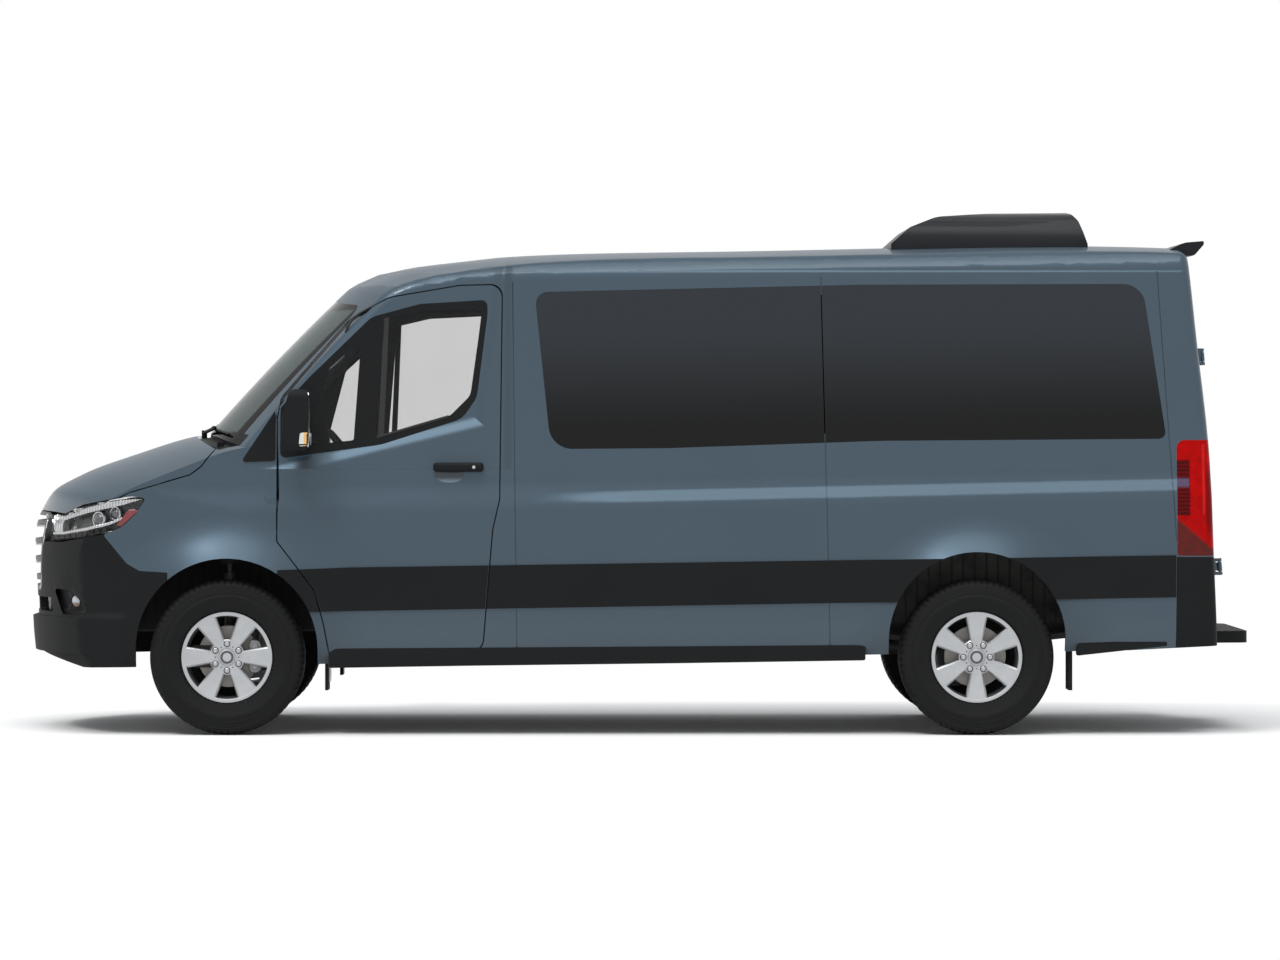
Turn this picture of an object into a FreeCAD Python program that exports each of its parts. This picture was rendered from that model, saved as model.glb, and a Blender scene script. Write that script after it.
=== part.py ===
"""Minibus with a long wheelbase, windows along the sides and two rear doors.

Frame while drawing: X runs rearwards from the front axle, Y to the vehicle's right, Z up from the road.
Every piece is moved at the end so that the origin lies under the middle of the vehicle's length.
"""
import FreeCAD, Part
import math
import os
from FreeCAD import Vector

# Driving sizes of the whole vehicle, in millimetres
WHEELBASE = 3665.0
FRONT_OVERHANG = 1034.0
LIP_REACH = 30.0
LIP_SETBACK = 12.0
REAR_OVERHANG = 1200.0
STEP_REACH = 175.0
BODY_WIDTH = 2020.0
ROOF_HEIGHT = 2413.0
COWL_HEIGHT = 1470.0
SILL_HEIGHT = 373.0
WALL = 42.0

# Gaps and thin pieces
DOOR_GAP = 6.0
DOOR_LIP = 18.0
SEAT_GAP = 0.3
GLASS = 6.0
EDGE_STEP = 12.0
GROOVE = 5.0
BAND_DEPTH = 7.0

# Body curves
RAKE = 0.017
NOSE_BOW = 1300.0
SCREEN_BOW = 1950.0
CROWN_DROP = 42.0
PILLAR_ROUND = 60.0
TAIL_ROUND = 50.0
TAIL_BULGE = 25.0

HOOD_REAR = -205.0
HOOD_BOW = 2535.0
SCREEN_FOOT = -138.0

# Wheels and axles
TYRE_RADIUS = 380.0
TYRE_WIDTH = 240.0
RIM_RADIUS = 222.0
RIM_WIDTH = 190.0
TRACK = 1712.0
SPINDLE_RADIUS = 28.0
DISC_RADIUS = 150.0
LUG_CIRCLE = 130.0
SPOKES = 6
STEER_AXIS = 705.0
FRONT_ARCH = 445.0
REAR_ARCH = 432.0
LINER_RADIUS = 485.0

# Floor, frame and cab
REAR_DOOR_FOOT = 640.0
REAR_HINGE_Y = 805.0
REAR_HINGE_STAND = 32.0
REAR_HINGE_HEIGHTS = (820.0, 1850.0)
FLOOR_TOP = 640.0
FLOOR_THICKNESS = 40.0
RAIL_HEIGHT = 110.0
RAIL_WIDTH = 70.0
RAIL_SPACING = 900.0
HINGE_INSET = 24.0
HINGE_PIN = 6.0
SEAT_WIDTH = 500.0
SEAT_PITCH = 800.0
SEAT_ROWS = 4

HALF = BODY_WIDTH / 2
NOSE = LIP_REACH - LIP_SETBACK - FRONT_OVERHANG
TAIL = WHEELBASE + REAR_OVERHANG
TOP = ROOF_HEIGHT
COWL = COWL_HEIGHT
WHEEL_Y = TRACK / 2
FLOOR_BOTTOM = FLOOR_TOP - FLOOR_THICKNESS
DOOR_FRONT = 250.0
DOOR_REAR = 1343.0
GUTTER = TOP - 210
Y_AXIS = Vector(0, 1, 0)
ORIGIN = Vector(0, 0, 0)


def unit(a, b):
    """Direction from point a to point b in a plane, and the distance."""
    dx, dy = b[0] - a[0], b[1] - a[1]
    length = math.hypot(dx, dy)
    return dx / length, dy / length, length


def spline(points):
    """One smooth edge through 3-D points."""
    curve = Part.BSplineCurve()
    curve.interpolate([Vector(*p) for p in points])
    return curve.toShape()


def moved_open(points, distance):
    """An open side profile moved inwards by a distance, square to its run."""
    out = []
    for i, point in enumerate(points):
        ux, uz, _ = unit(points[max(i - 1, 0)], points[min(i + 1, len(points) - 1)])
        out.append((point[0] + uz * distance, point[1] - ux * distance))
    return out


def grown(points, distance):
    """A closed outline moved outwards by a distance, corner by corner."""
    count = len(points)
    area = sum(points[i - 1][0] * points[i][1] - points[i][0] * points[i - 1][1] for i in range(count))
    side = 1 if area > 0 else -1
    out = []
    for i, point in enumerate(points):
        ax, az, _ = unit(points[i - 1], point)
        bx, bz, _ = unit(point, points[(i + 1) % count])
        nx, nz, mx, mz = az * side, -ax * side, bz * side, -bx * side
        scale = distance / (1 + nx * mx + nz * mz)
        out.append((point[0] + (nx + mx) * scale, point[1] + (nz + mz) * scale) + tuple(point[2:]))
    return out


def loop_face(points, radius, place):
    """A face inside a closed outline whose corners are rounded by tangent arcs."""
    count = len(points)
    spans = []
    for i, point in enumerate(points):
        ux, uy, back = unit(point, points[i - 1])
        vx, vy, ahead = unit(point, points[(i + 1) % count])
        half = math.acos(max(-1.0, min(1.0, ux * vx + uy * vy))) / 2
        wanted = point[2] if len(point) > 2 else radius
        if wanted <= 0 or math.tan(half) > 1e4:
            spans.append((point, None, point))
            continue
        run = min(wanted / math.tan(half), 0.48 * back, 0.48 * ahead)
        arc = run * math.tan(half)
        bx, by, _ = unit((0, 0), (ux + vx, uy + vy))
        reach = arc / math.sin(half) - arc
        spans.append(((point[0] + ux * run, point[1] + uy * run),
                      (point[0] + bx * reach, point[1] + by * reach),
                      (point[0] + vx * run, point[1] + vy * run)))
    edges = []
    for i, (start, middle, end) in enumerate(spans):
        if middle:
            edges.append(Part.Arc(place(start), place(middle), place(end)).toShape())
        following = spans[(i + 1) % count][0]
        if place(end).distanceToPoint(place(following)) > 1e-6:
            edges.append(Part.makeLine(place(end), place(following)))
    return Part.Face(Part.Wire(edges))


def side_prism(points, low_y, high_y, radius=0.0):
    """An outline in side view (x, z), carried across from low_y to high_y."""
    face = loop_face(points, radius, lambda p: Vector(p[0], low_y, p[1]))
    return face.extrude(Vector(0, high_y - low_y, 0))


def front_prism(points, low_x, high_x, radius=0.0):
    """An outline in front view (y, z), carried from low_x to high_x."""
    face = loop_face(points, radius, lambda p: Vector(low_x, p[0], p[1]))
    return face.extrude(Vector(high_x - low_x, 0, 0))


def plan_prism(points, low_z, high_z, radius=0.0):
    """An outline in plan view (x, y), carried from low_z to high_z."""
    face = loop_face(points, radius, lambda p: Vector(p[0], p[1], low_z))
    return face.extrude(Vector(0, 0, high_z - low_z))


def box(x0, x1, y0, y1, z0, z1):
    """A box between two corners."""
    return Part.makeBox(x1 - x0, y1 - y0, z1 - z0, Vector(x0, y0, z0))


def rod(radius, start, end):
    """A round bar between two points."""
    a, b = Vector(*start), Vector(*end)
    return Part.makeCylinder(radius, (b - a).Length, a, b - a)


def ring(outer, inner, start, end):
    """A round tube between two points."""
    return rod(outer, start, end).cut(rod(inner, start, end))


def mirrored(shape):
    """The same piece on the other side of the vehicle."""
    return shape.mirror(ORIGIN, Y_AXIS)


def both(shape):
    """A piece and its mirror image, as separate solids."""
    return [shape, mirrored(shape)]


def joined(first, *others):
    """Pieces made into one solid."""
    return first.multiFuse(list(others)).removeSplitter()


def rounded_block(x0, x1, y0, y1, z0, z1, radius):
    """A box with all its edges rounded."""
    block = box(x0, x1, y0, y1, z0, z1)
    limit = 0.45 * min(x1 - x0, y1 - y0, z1 - z0)
    return block.makeFillet(min(radius, limit), block.Edges)


# Side profile of the body at its centre line, from the bumper's lip over the roof
NOSE_LINE = [(NOSE + 40, 300), (NOSE + 22, 420), (NOSE + LIP_SETBACK, 548), (NOSE + 4, 702), (NOSE - 6, 850),
             (NOSE - 6, 960), (NOSE + 10, 1050), (NOSE + 42, COWL - 352)]
HOOD_LINE = [(NOSE + 92, COWL - 283), (NOSE + 172, COWL - 233), (NOSE + 278, COWL - 182),
             (NOSE + 414, COWL - 132), (NOSE + 566, COWL - 81), (NOSE + 712, COWL - 34), (-144, COWL)]
SCREEN_TOP = (535, TOP - 235)
ROOF_LINE = [SCREEN_TOP, (602, TOP - 185), (704, TOP - 143), (850, TOP - 109), (1010, TOP - 86),
             (1214, TOP - 63), (1500, TOP - 44), (WHEELBASE - 1328, TOP - 26), (WHEELBASE - 410, TOP - 8),
             (WHEELBASE + 713, TOP), (TAIL - 65, TOP - 15)]
SCREEN_SAG = 12.0


def front_and_top(inset):
    """Everything under the nose, hood, screen and roof, bowed in plan and dropped at the sides."""
    front = moved_open(NOSE_LINE + HOOD_LINE, inset)
    roof = moved_open([HOOD_LINE[-1]] + ROOF_LINE, inset)[1:]
    start, end = front[-1], roof[0]
    ux, uz, _ = unit(start, end)
    middle = ((start[0] + end[0]) / 2 - uz * SCREEN_SAG, (start[1] + end[1]) / 2 + ux * SCREEN_SAG)
    screen = [start, middle, end]
    base = SILL_HEIGHT - 123
    wires = []
    for y in (-HALF - 50, -HALF * 0.7, -HALF * 0.35, 0, HALF * 0.35, HALF * 0.7, HALF + 50):
        drop = -CROWN_DROP * (y / (HALF - 230)) ** 2
        nose_bow, screen_bow = y * y / (2 * NOSE_BOW), y * y / (2 * SCREEN_BOW)
        first = []
        for i, (x, z) in enumerate(front):
            share = max(0.0, (i - len(NOSE_LINE) + 1) / len(HOOD_LINE))
            first.append((x + nose_bow * (1 - share) + screen_bow * share, y, z + drop))
        second = [(x + screen_bow, y, z + drop) for x, z in screen]
        third = [(x + screen_bow, y, z + drop) for x, z in roof]
        foot, heel = Vector(third[-1][0], y, base), Vector(first[0][0], y, base)
        wires.append(Part.Wire([spline(first), spline(second), spline(third),
                                Part.makeLine(Vector(*third[-1]), foot), Part.makeLine(foot, heel),
                                Part.makeLine(heel, Vector(*first[0]))]))
    return Part.makeLoft(wires, True, False)


FLANK = [(HALF - 55, SILL_HEIGHT - 33), (HALF - 42, SILL_HEIGHT - 1), (HALF - 25, SILL_HEIGHT + 57),
         (HALF - 10, 600), (HALF - 2, 800), (HALF, 900), (HALF, 1060)]
SHOULDER = [(HALF, 1060), (HALF - 6, 1112), (HALF - 24, 1176), (HALF - 32, 1240)]
EAVE = [(HALF - 117, GUTTER), (HALF - 140, TOP - 151), (HALF - 195, TOP - 108), (HALF - 270, TOP - 83)]
SECTION_START = NOSE - 384
SECTION_LENGTH = TAIL - SECTION_START + 500


def cross_section(inset):
    """The body's section, square to its length, carried along a line that rises to the rear."""
    x = SECTION_START
    flank = [(x, y - inset, z) for y, z in FLANK]
    shoulder = [(x, y - inset, z) for y, z in SHOULDER]
    share = [(1.0, 0.0), (0.9, 0.3), (0.6, 0.8), (0.0, 1.0)]
    eave = [(x, y - inset * a, z - inset * b) for (y, z), (a, b) in zip(EAVE, share)]
    opposite = [[(x, -y, z) for _, y, z in run] for run in (flank, shoulder, eave)]
    ridge = Vector(x, 0, TOP - 41 - inset)
    edges = [spline(flank), spline(shoulder), Part.makeLine(Vector(*shoulder[-1]), Vector(*eave[0])),
             spline(eave), Part.Arc(Vector(*eave[-1]), ridge, Vector(*opposite[2][-1])).toShape(),
             spline(opposite[2]), Part.makeLine(Vector(*opposite[2][0]), Vector(*opposite[1][-1])),
             spline(opposite[1]), spline(opposite[0]),
             Part.makeLine(Vector(*opposite[0][0]), Vector(*flank[0]))]
    wire = Part.Wire(Part.__sortEdges__(edges))
    wire.translate(Vector(0, 0, x * RAKE))
    return Part.Face(wire).extrude(Vector(SECTION_LENGTH, 0, SECTION_LENGTH * RAKE))


PLAN_LINE = [(NOSE - 84, HALF - 450), (NOSE + 16, HALF - 355), (NOSE + 116, HALF - 235),
             (NOSE + 256, HALF - 135), (NOSE + 456, HALF - 65), (NOSE + 716, HALF - 22),
             (0, HALF - 2), (200, HALF + 6)]


def plan_solid(inset):
    """The body's plan outline: rounded nose corners, then straight to the rear."""
    line = moved_open(PLAN_LINE, inset)
    right = [(x, y, 200) for x, y in line]
    left = [(x, -y, 200) for x, y in line]
    rear = TAIL + 335
    corners = [Vector(*right[-1]), Vector(rear, right[-1][1], 200), Vector(rear, left[-1][1], 200),
               Vector(*left[-1])]
    edges = [spline(right), spline(left), Part.makeLine(Vector(*right[0]), Vector(*left[0]))]
    edges += [Part.makeLine(a, b) for a, b in zip(corners, corners[1:])]
    return Part.Face(Part.Wire(Part.__sortEdges__(edges))).extrude(Vector(0, 0, TOP + 200))


TAIL_LINE = [(TAIL - 3, 250), (TAIL - 15, 600), (TAIL - 27, 880), (TAIL - 53, 1442), (TAIL - 103, TOP - 511),
             (TAIL - 149, TOP - 79), (TAIL - 165, TOP + 37)]


def tail_solid(inset):
    """Everything ahead of the leaning rear face, which bulges a little at its middle."""
    wires = []
    start, low, high = SECTION_START, 250, TAIL_LINE[-1][1]
    for y in (-HALF - 50, -HALF / 2, 0, HALF / 2, HALF + 50):
        bulge = TAIL_BULGE * (0.5 - (y / (HALF - 110)) ** 2) - inset
        run = [(x + bulge, y, z) for x, z in TAIL_LINE]
        corners = [Vector(*run[-1]), Vector(start, y, high), Vector(start, y, low), Vector(*run[0])]
        wires.append(Part.Wire([spline(run)] + [Part.makeLine(a, b) for a, b in zip(corners, corners[1:])]))
    return Part.makeLoft(wires, True, False)


def corner_edges(body, inset, kind):
    """The body's edges to round: its pillars and roof sides, or its rear corners."""
    chosen = []
    for edge in body.Edges:
        bounds = edge.BoundBox
        reach = min(abs(bounds.YMin), abs(bounds.YMax))
        if bounds.YMin * bounds.YMax <= 0 or reach < HALF - 250 - inset:
            continue
        if kind == "rear":
            wanted = bounds.XMin > TAIL - 290 - inset and bounds.XLength < 190
        else:
            start = bounds.XMin < 1300
            pillar = bounds.XMin > 60 and bounds.ZMax > TOP - 613 and bounds.XMax < 1300
            wanted = start and (pillar or (bounds.XMin > 800 and bounds.XMax > 4000 and bounds.YLength > 30))
        if wanted:
            chosen.append(edge)
    return chosen


def envelope(inset, soft=True):
    """The closed body, moved inwards by the inset, with rounded pillars and rear corners."""
    body = front_and_top(inset).common(cross_section(inset)).common(plan_solid(inset))
    body = body.common(tail_solid(inset)).Solids[0]
    if not soft:
        return body
    body = body.makeFillet(PILLAR_ROUND - inset, corner_edges(body, inset, "pillar"))
    return body.makeFillet(TAIL_ROUND - inset, corner_edges(body, inset, "rear"))


def raked(points):
    """Points given square to the body, lifted with the rake."""
    return [(p[0], p[1] + RAKE * p[0]) + tuple(p[2:]) for p in points]


def wheel_space(x, radius, low_y, high_y, centre):
    """The space round a wheel: a half circle on straight sides, from low_y to high_y."""
    tunnel = Part.makeCylinder(radius, high_y - low_y, Vector(x, low_y, centre), Y_AXIS)
    return tunnel.fuse(box(x - radius, x + radius, low_y, high_y, 0, centre))


def bowed_plan(start, bow, low_z, high_z, rear=True):
    """Everything behind (or ahead of) a line across the vehicle that bows forward at the middle."""
    edge = HALF + 100
    x_edge = start + edge * edge / (2 * bow)
    far = TAIL + 500 if rear else NOSE - 500
    arc = Part.Arc(Vector(x_edge, -edge, low_z), Vector(start, 0, low_z),
                   Vector(x_edge, edge, low_z)).toShape()
    lines = [Part.makeLine(Vector(x_edge, edge, low_z), Vector(far, edge, low_z)),
             Part.makeLine(Vector(far, edge, low_z), Vector(far, -edge, low_z)),
             Part.makeLine(Vector(far, -edge, low_z), Vector(x_edge, -edge, low_z))]
    return Part.Face(Part.Wire([arc] + lines)).extrude(Vector(0, 0, high_z - low_z))


# Outlines seen from the side (x, z)
DOOR_OUTLINE = [(DOOR_FRONT, 1545, 30), (DOOR_FRONT, 949, 20), (433, 710, 120), (478, 540, 120),
                (505, 393, 25), (1189, 393, 50), (1250, 442, 60), (1297, 1003, 80),
                (DOOR_REAR - 12, 1154, 20),
                (DOOR_REAR, TOP - 212, 60), (1138, TOP - 217, 60), (795, TOP - 275, 120),
                (599, TOP - 378, 200),
                (403, TOP - 604, 60), (266, 1648, 60)]
WINDOW_OUTLINE = [(262, 1352, 25), (750, 1418, 400), (1150, 1545, 120), (1222, 1650, 120),
                  (1275, TOP - 344, 300),
                  (1270, TOP - 285, 40), (942, TOP - 305, 150), (706, TOP - 369, 100), (403, TOP - 663, 60),
                  (262, 1600, 30)]
QUARTER_GLASS = [(400, 1418, 12), (620, 1441, 12), (655, TOP - 480, 25), (500, TOP - 620, 40)]
MAIN_GLASS = [(722, 1452, 20), (1090, 1560, 60), (1190, 1660, 70), (1248, TOP - 330, 35),
              (940, TOP - 345, 60),
              (770, TOP - 385, 35)]
SIDE_GLASS = [(1503, TOP - 247, 60), (1584, 1398, 115), (2150, 1402, 900), (3196, 1438, 2000),
              (WHEELBASE + 925, 1448, 34), (WHEELBASE + 813, TOP - 207, 110), (3100, TOP - 211, 2000)]
SPLIT_TOP = (2902, TOP - 180)
SPLIT_FOOT = (2950, 340)
REAR_SPLIT_TOP = (WHEELBASE + 880, TOP - 160)
REAR_SPLIT = (WHEELBASE + 970, 1000)
REAR_SPLIT_FOOT = (WHEELBASE + 925, 340)
HOOD_EDGE = [(NOSE - 60, 1096), (NOSE + 136, 1085), (NOSE + 200, 1078), (NOSE + 300, 1124), (-533, 1160),
             (-479, 1187), (-180, COWL - 195), (-127, COWL - 156), (-68, COWL - 77), (-28, COWL - 18)]
BUMPER_EDGE = [(NOSE - 60, 935), (NOSE + 180, 938), (NOSE + 409, 979), (NOSE + 527, 839), (NOSE + 590, 803),
               (-288, 795), (-288, 500)]
LAMP_OUTLINE = [(NOSE + 105, 940, 10), (NOSE + 321, 962, 60), (NOSE + 409, 979, 60), (-560, 996, 60),
                (-509, 1020, 30), (-445, 1079, 40), (-392, 1158, 12), (-460, 1166, 60), (-533, 1160, 60),
                (NOSE + 300, 1124, 30), (NOSE + 200, 1078, 20), (NOSE + 100, 1082, 10)]
FOG_RECESS = [(NOSE + 139, 708, 14), (NOSE + 234, 702, 30), (NOSE + 334, 618, 20), (NOSE + 326, 582, 12),
              (NOSE + 190, 580, 14)]
RECESS_DEPTH = 30.0
LIP_SIDE = [(NOSE - 60, 392), (NOSE - 60, 540), (NOSE + 10, 570), (NOSE + 700, 570), (NOSE + 700, 392)]
GRILLE_TOP = 470.0
GRILLE_FOOT = 360.0
LAMP_INNER = 560.0
LAMP_WALL = 7.0

outer = envelope(0)
glass_inner = envelope(GLASS)
inner = envelope(WALL, soft=False)
lip_inner = envelope(DOOR_LIP)
shell = outer.cut(inner)
flank_lip = cross_section(DOOR_LIP)
flank_glass = cross_section(GLASS)
flank_inner = cross_section(WALL + SEAT_GAP)
FAR = HALF + 150
LEFT = (-FAR, -HALF * 0.35)


def left_region(points, radius=0.0):
    """An outline from the side, carried through the vehicle's left flank."""
    return side_prism(points, LEFT[0], LEFT[1], radius)


def above(points, height):
    """The closed outline of all that lies above an open side line."""
    return list(points) + [(points[-1][0] + 1, height), (points[0][0], height)]


def below(points, height):
    """The closed outline of all that lies below an open side line."""
    return [(points[0][0], height)] + list(points) + [(points[-1][0], height)]


NODES = {}


def add(name, *shapes):
    """Keep shapes as the solids of one named piece."""
    solids = [solid for shape in shapes for solid in shape.Solids if solid.Volume > 50]
    NODES[name] = Part.makeCompound(solids)


front_arches = [wheel_space(0, FRONT_ARCH, y0, y1, TYRE_RADIUS + 39) for y0, y1 in ((-FAR, -500), (500, FAR))]
rear_arches = [wheel_space(WHEELBASE, REAR_ARCH, y0, y1, TYRE_RADIUS + 84) for y0,
               y1 in ((-FAR, -650), (650, FAR))]

# Roof: all of the shell above the gutter line
ROOF_SEAM = GUTTER - 12
ROOF_STATION = 1312.0
gutter = raked([(NOSE - 300, ROOF_SEAM), (TAIL + 300, ROOF_SEAM)])
above_gutter = side_prism(above(gutter, TOP + 300), -FAR, FAR)
roof = shell.common(above_gutter)
roof_front = roof.common(box(NOSE - 300, ROOF_STATION, -FAR, FAR, 1000, TOP + 200))
roof_rear = roof.common(box(ROOF_STATION, TAIL + 300, -FAR, FAR, 1000, TOP + 200))
add("roof", roof_front.fuse(roof_rear))
lower_shell = shell.cut(above_gutter)

# Hood: above the hood's edge line and ahead of the cowl
hood_outline = above(HOOD_EDGE, TOP)


def hood_space(offset):
    """The hood's space, made smaller or larger by an offset."""
    ahead = bowed_plan(HOOD_REAR + offset, HOOD_BOW, 500, TOP, rear=False)
    return side_prism(grown(hood_outline, offset), -FAR, FAR).common(ahead)


hood_skin = lower_shell.common(hood_space(0)).cut(lip_inner)
hood_core = lower_shell.common(hood_space(-EDGE_STEP)).common(lip_inner)
hood_panel = joined(hood_skin, hood_core)
hood_room = hood_space(DOOR_GAP)
below_hood = lower_shell.cut(hood_room)

# Windscreen with its opening, and the cowl between it and the hood
screen_outline = [(-HALF + 165, 1300, 0), (HALF - 165, 1300, 0), (HALF - 230, TOP - 310, 90),
                  (0, TOP - 268, 900),
                  (-HALF + 230, TOP - 310, 90)]
behind_cowl = bowed_plan(SCREEN_FOOT, SCREEN_BOW, 1200, TOP)
screen_zone = front_prism(screen_outline, NOSE, 1300).common(behind_cowl)
screen_hole = front_prism(grown(screen_outline, -30), NOSE, 1300).common(
    bowed_plan(SCREEN_FOOT + 38, SCREEN_BOW, 1200, TOP))
screen_pane = front_prism(grown(screen_outline, -SEAT_GAP), NOSE, 1300).common(
    bowed_plan(SCREEN_FOOT + SEAT_GAP, SCREEN_BOW, 1200, TOP))
add("windscreen", outer.common(screen_pane).cut(glass_inner))
body_shell = below_hood.cut(screen_zone.cut(glass_inner)).cut(screen_hole)
cowl_box = box(NOSE, 300, -HALF + 118, HALF - 118, COWL - 100, COWL + 150)
cowl_zone = bowed_plan(HOOD_REAR + DOOR_GAP, HOOD_BOW, COWL - 100, COWL + 150).common(cowl_box)
cowl_zone = cowl_zone.cut(bowed_plan(SCREEN_FOOT + 45, SCREEN_BOW, 1200, TOP))
cowl = body_shell.common(cowl_zone)
cowl = cowl.common(lip_inner).fuse(cowl.common(behind_cowl))
body_shell = body_shell.cut(cowl_zone)

# Hood hinges: cheeks and a pin on the cowl, a barrel and an arm on the hood
HOOD_PIVOT_X, HOOD_PIVOT_Z, HOOD_PIVOT_Y = -45.0, COWL - 52, HALF - 310


def cylinder_y(radius, x, y, z, half_width):
    """A round bar across the vehicle, centred on a point."""
    return Part.makeCylinder(radius, 2 * half_width, Vector(x, y - half_width, z), Y_AXIS)


for y in (-HOOD_PIVOT_Y, HOOD_PIVOT_Y):
    px, pz = HOOD_PIVOT_X, HOOD_PIVOT_Z
    cowl = cowl.cut(cylinder_y(16, px, y, pz, 26)).cut(box(px - 100, px, y - 26, y + 26, pz - 42, pz + 40))
    for cheek_y in (y - 38, y + 26):
        cowl = cowl.fuse(box(px - 16, px + 16, cheek_y, cheek_y + 12, pz - 26, pz + 12))
    cowl = cowl.fuse(cylinder_y(5, px, y, pz, 30))
    barrel = cylinder_y(10, px, y, pz, 22)
    link = side_prism([(px - 130, pz - 47), (px - 130, pz - 31), (px, pz + 7), (px, pz - 5)], y - 20, y + 20)
    hood_panel = hood_panel.fuse(barrel.fuse(link).cut(cylinder_y(5 + SEAT_GAP, px, y, pz, 40)))


def screen_point(share, y, lift):
    """A point above the windscreen: share is how far up it lies, lift how far off the glass."""
    (xa, za), (xb, zb) = HOOD_LINE[-1], SCREEN_TOP
    ux, uz, length = unit((xa, za), (xb, zb))
    off = lift + 4 * share * (1 - share) * SCREEN_SAG
    bow, drop = y * y / (2 * SCREEN_BOW), CROWN_DROP * (y / (HALF - 230)) ** 2
    return xa + ux * length * share - uz * off + bow, y, za + uz * length * share + ux * off - drop


def wiper(y_start, y_end, pivot):
    """A parked wiper: its blade along the foot of the glass and its arm from a post in the cowl."""
    blade = [Vector(*screen_point(0.035, y_start + (y_end - y_start) * i / 6, 12)) for i in range(7)]
    section = Part.makePolygon([blade[0] + Vector(0, 0, z) + Vector(x, 0, 0)
                                for x, z in ((-8, 0), (0, -6), (8, 0), (0, 6), (-8, 0))])
    pieces = [Part.Wire(spline(blade)).makePipeShell([section], True, True)]
    middle = screen_point(0.035, (y_start + y_end) / 2, 24)
    post_x = (HOOD_REAR + SCREEN_FOOT) / 2 + pivot ** 2 * (1 / HOOD_BOW + 1 / SCREEN_BOW) / 4
    head = (post_x, pivot, COWL - CROWN_DROP * (pivot / (HALF - 230)) ** 2 + 6)
    pieces += [rod(14, (post_x, pivot, head[2] - 50), (post_x, pivot, head[2] + 12)), rod(9, head, middle),
               Part.makeSphere(10, Vector(*middle)), rod(5, blade[3], middle)]
    return pieces


cowl = cowl.multiFuse(wiper(-700, -130, -60) + wiper(-30, 540, 610)).removeSplitter()
add("cowl", cowl)
add("hood", hood_panel.removeSplitter())

# Front end: bumper, grille and headlamps
bumper_zone = side_prism(below(BUMPER_EDGE, 200), -FAR, FAR)
grille_outline = [(-GRILLE_TOP + 20, 1090, 60), (GRILLE_TOP - 20, 1090, 60), (GRILLE_TOP, 985, 60),
                  (GRILLE_FOOT, 690, 60), (-GRILLE_FOOT, 690, 60), (-GRILLE_TOP, 985, 60)]
grille_zone = front_prism(grille_outline, NOSE - 100, NOSE + 250)
front_shell = body_shell.common(box(NOSE - 100, DOOR_FRONT + 400, -FAR, FAR, 200, 1600))
lamp_zone = left_region(LAMP_OUTLINE).common(box(NOSE - 100, 0, -FAR, -LAMP_INNER, 800, 1300))
lamp_zones = lamp_zone.fuse(mirrored(lamp_zone))
lamps = front_shell.common(lamp_zones)
lamp_room = left_region(grown(LAMP_OUTLINE, -LAMP_WALL))
lamp_room = lamp_room.common(box(NOSE - 100, 0, -FAR, -LAMP_INNER - LAMP_WALL, 800, 1300))
lamps = lamps.cut(lamp_room.common(glass_inner)).cut(mirrored(lamp_room).common(glass_inner))
add("headlamps", lamps)
no_lamps = front_shell.cut(lamp_zones).cut(grille_zone)
bumper = no_lamps.common(bumper_zone)
for arch in front_arches:
    bumper = bumper.cut(arch)
for low_y, high_y in ((-560, -290), (-270, -12), (12, 270), (290, 560)):
    intake = [(low_y, 590, 20), (high_y, 590, 20), (high_y, 660, 20), (low_y, 660, 20)]
    bumper = bumper.cut(front_prism(intake, NOSE - 100, NOSE + 300))
recess = left_region(FOG_RECESS).cut(envelope(RECESS_DEPTH, soft=False))
lip = front_and_top(-LIP_REACH).common(plan_solid(0)).common(side_prism(LIP_SIDE, -FAR, FAR)).cut(inner)
chin_side = [(NOSE - 100, 200), (NOSE - 100, 402), (NOSE + 40, 390), (NOSE + 320, 325), (NOSE + 320, 200)]
chin = side_prism(chin_side, -FAR, FAR)
for arch in front_arches:
    lip = lip.cut(arch)
bumper = bumper.fuse(lip).cut(recess).cut(mirrored(recess)).cut(chin).removeSplitter()
add("front_bumper", bumper)


def grille():
    """Frame along the grille's outline with a plate behind it and cross slats between its sides."""
    deep = envelope(WALL + 8, soft=False)
    opening = front_prism(grown(grille_outline, -26), NOSE - 100, NOSE + 250)
    frame = outer.common(front_prism(grown(grille_outline, -SEAT_GAP), NOSE - 100, NOSE + 250)).cut(opening)
    plate = inner.common(front_prism(grown(grille_outline, -15), NOSE - 100, NOSE + 250))
    slats = []
    for z in SLAT_HEIGHTS:
        tilt = [(NOSE - 40, z - 16), (NOSE + 180, z + 8), (NOSE + 180, z + 30), (NOSE - 40, z + 14)]
        slat = front_prism(grown(grille_outline, -20), NOSE - 100,
                           NOSE + 250).common(side_prism(tilt, -FAR, FAR))
        slats.append(outer.common(slat).cut(deep))
    return joined(frame.cut(deep), plate.cut(deep), *slats).cut(hood_room)


SLAT_HEIGHTS = (1020, 930, 840, 750)
add("grille", grille())

# Front wings
wing_zone = below([(-600, 1700), (-200, 1500), (11, 1481), (128, 1449), (300, 1400), (620, 1400)], 200)
door_hole = left_region(grown(DOOR_OUTLINE, DOOR_GAP))
wing_cut = [(NOSE - 100, 200), (NOSE - 100, 1700), (DOOR_FRONT + 40, 1700), (DOOR_FRONT + 40, 930),
            (560, 640), (560, 200)]
wing = no_lamps.cut(bumper_zone).common(left_region(wing_zone)).common(left_region(wing_cut))
wing = wing.cut(door_hole).cut(front_arches[0])


def hinge_pocket(z):
    """Room in the wing for one door hinge, open towards the inside and the door."""
    y = -HALF + HINGE_INSET
    return box(HINGE_X - 17, DOOR_FRONT, y - 14, y + 60, z - 35, z + 35)


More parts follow.
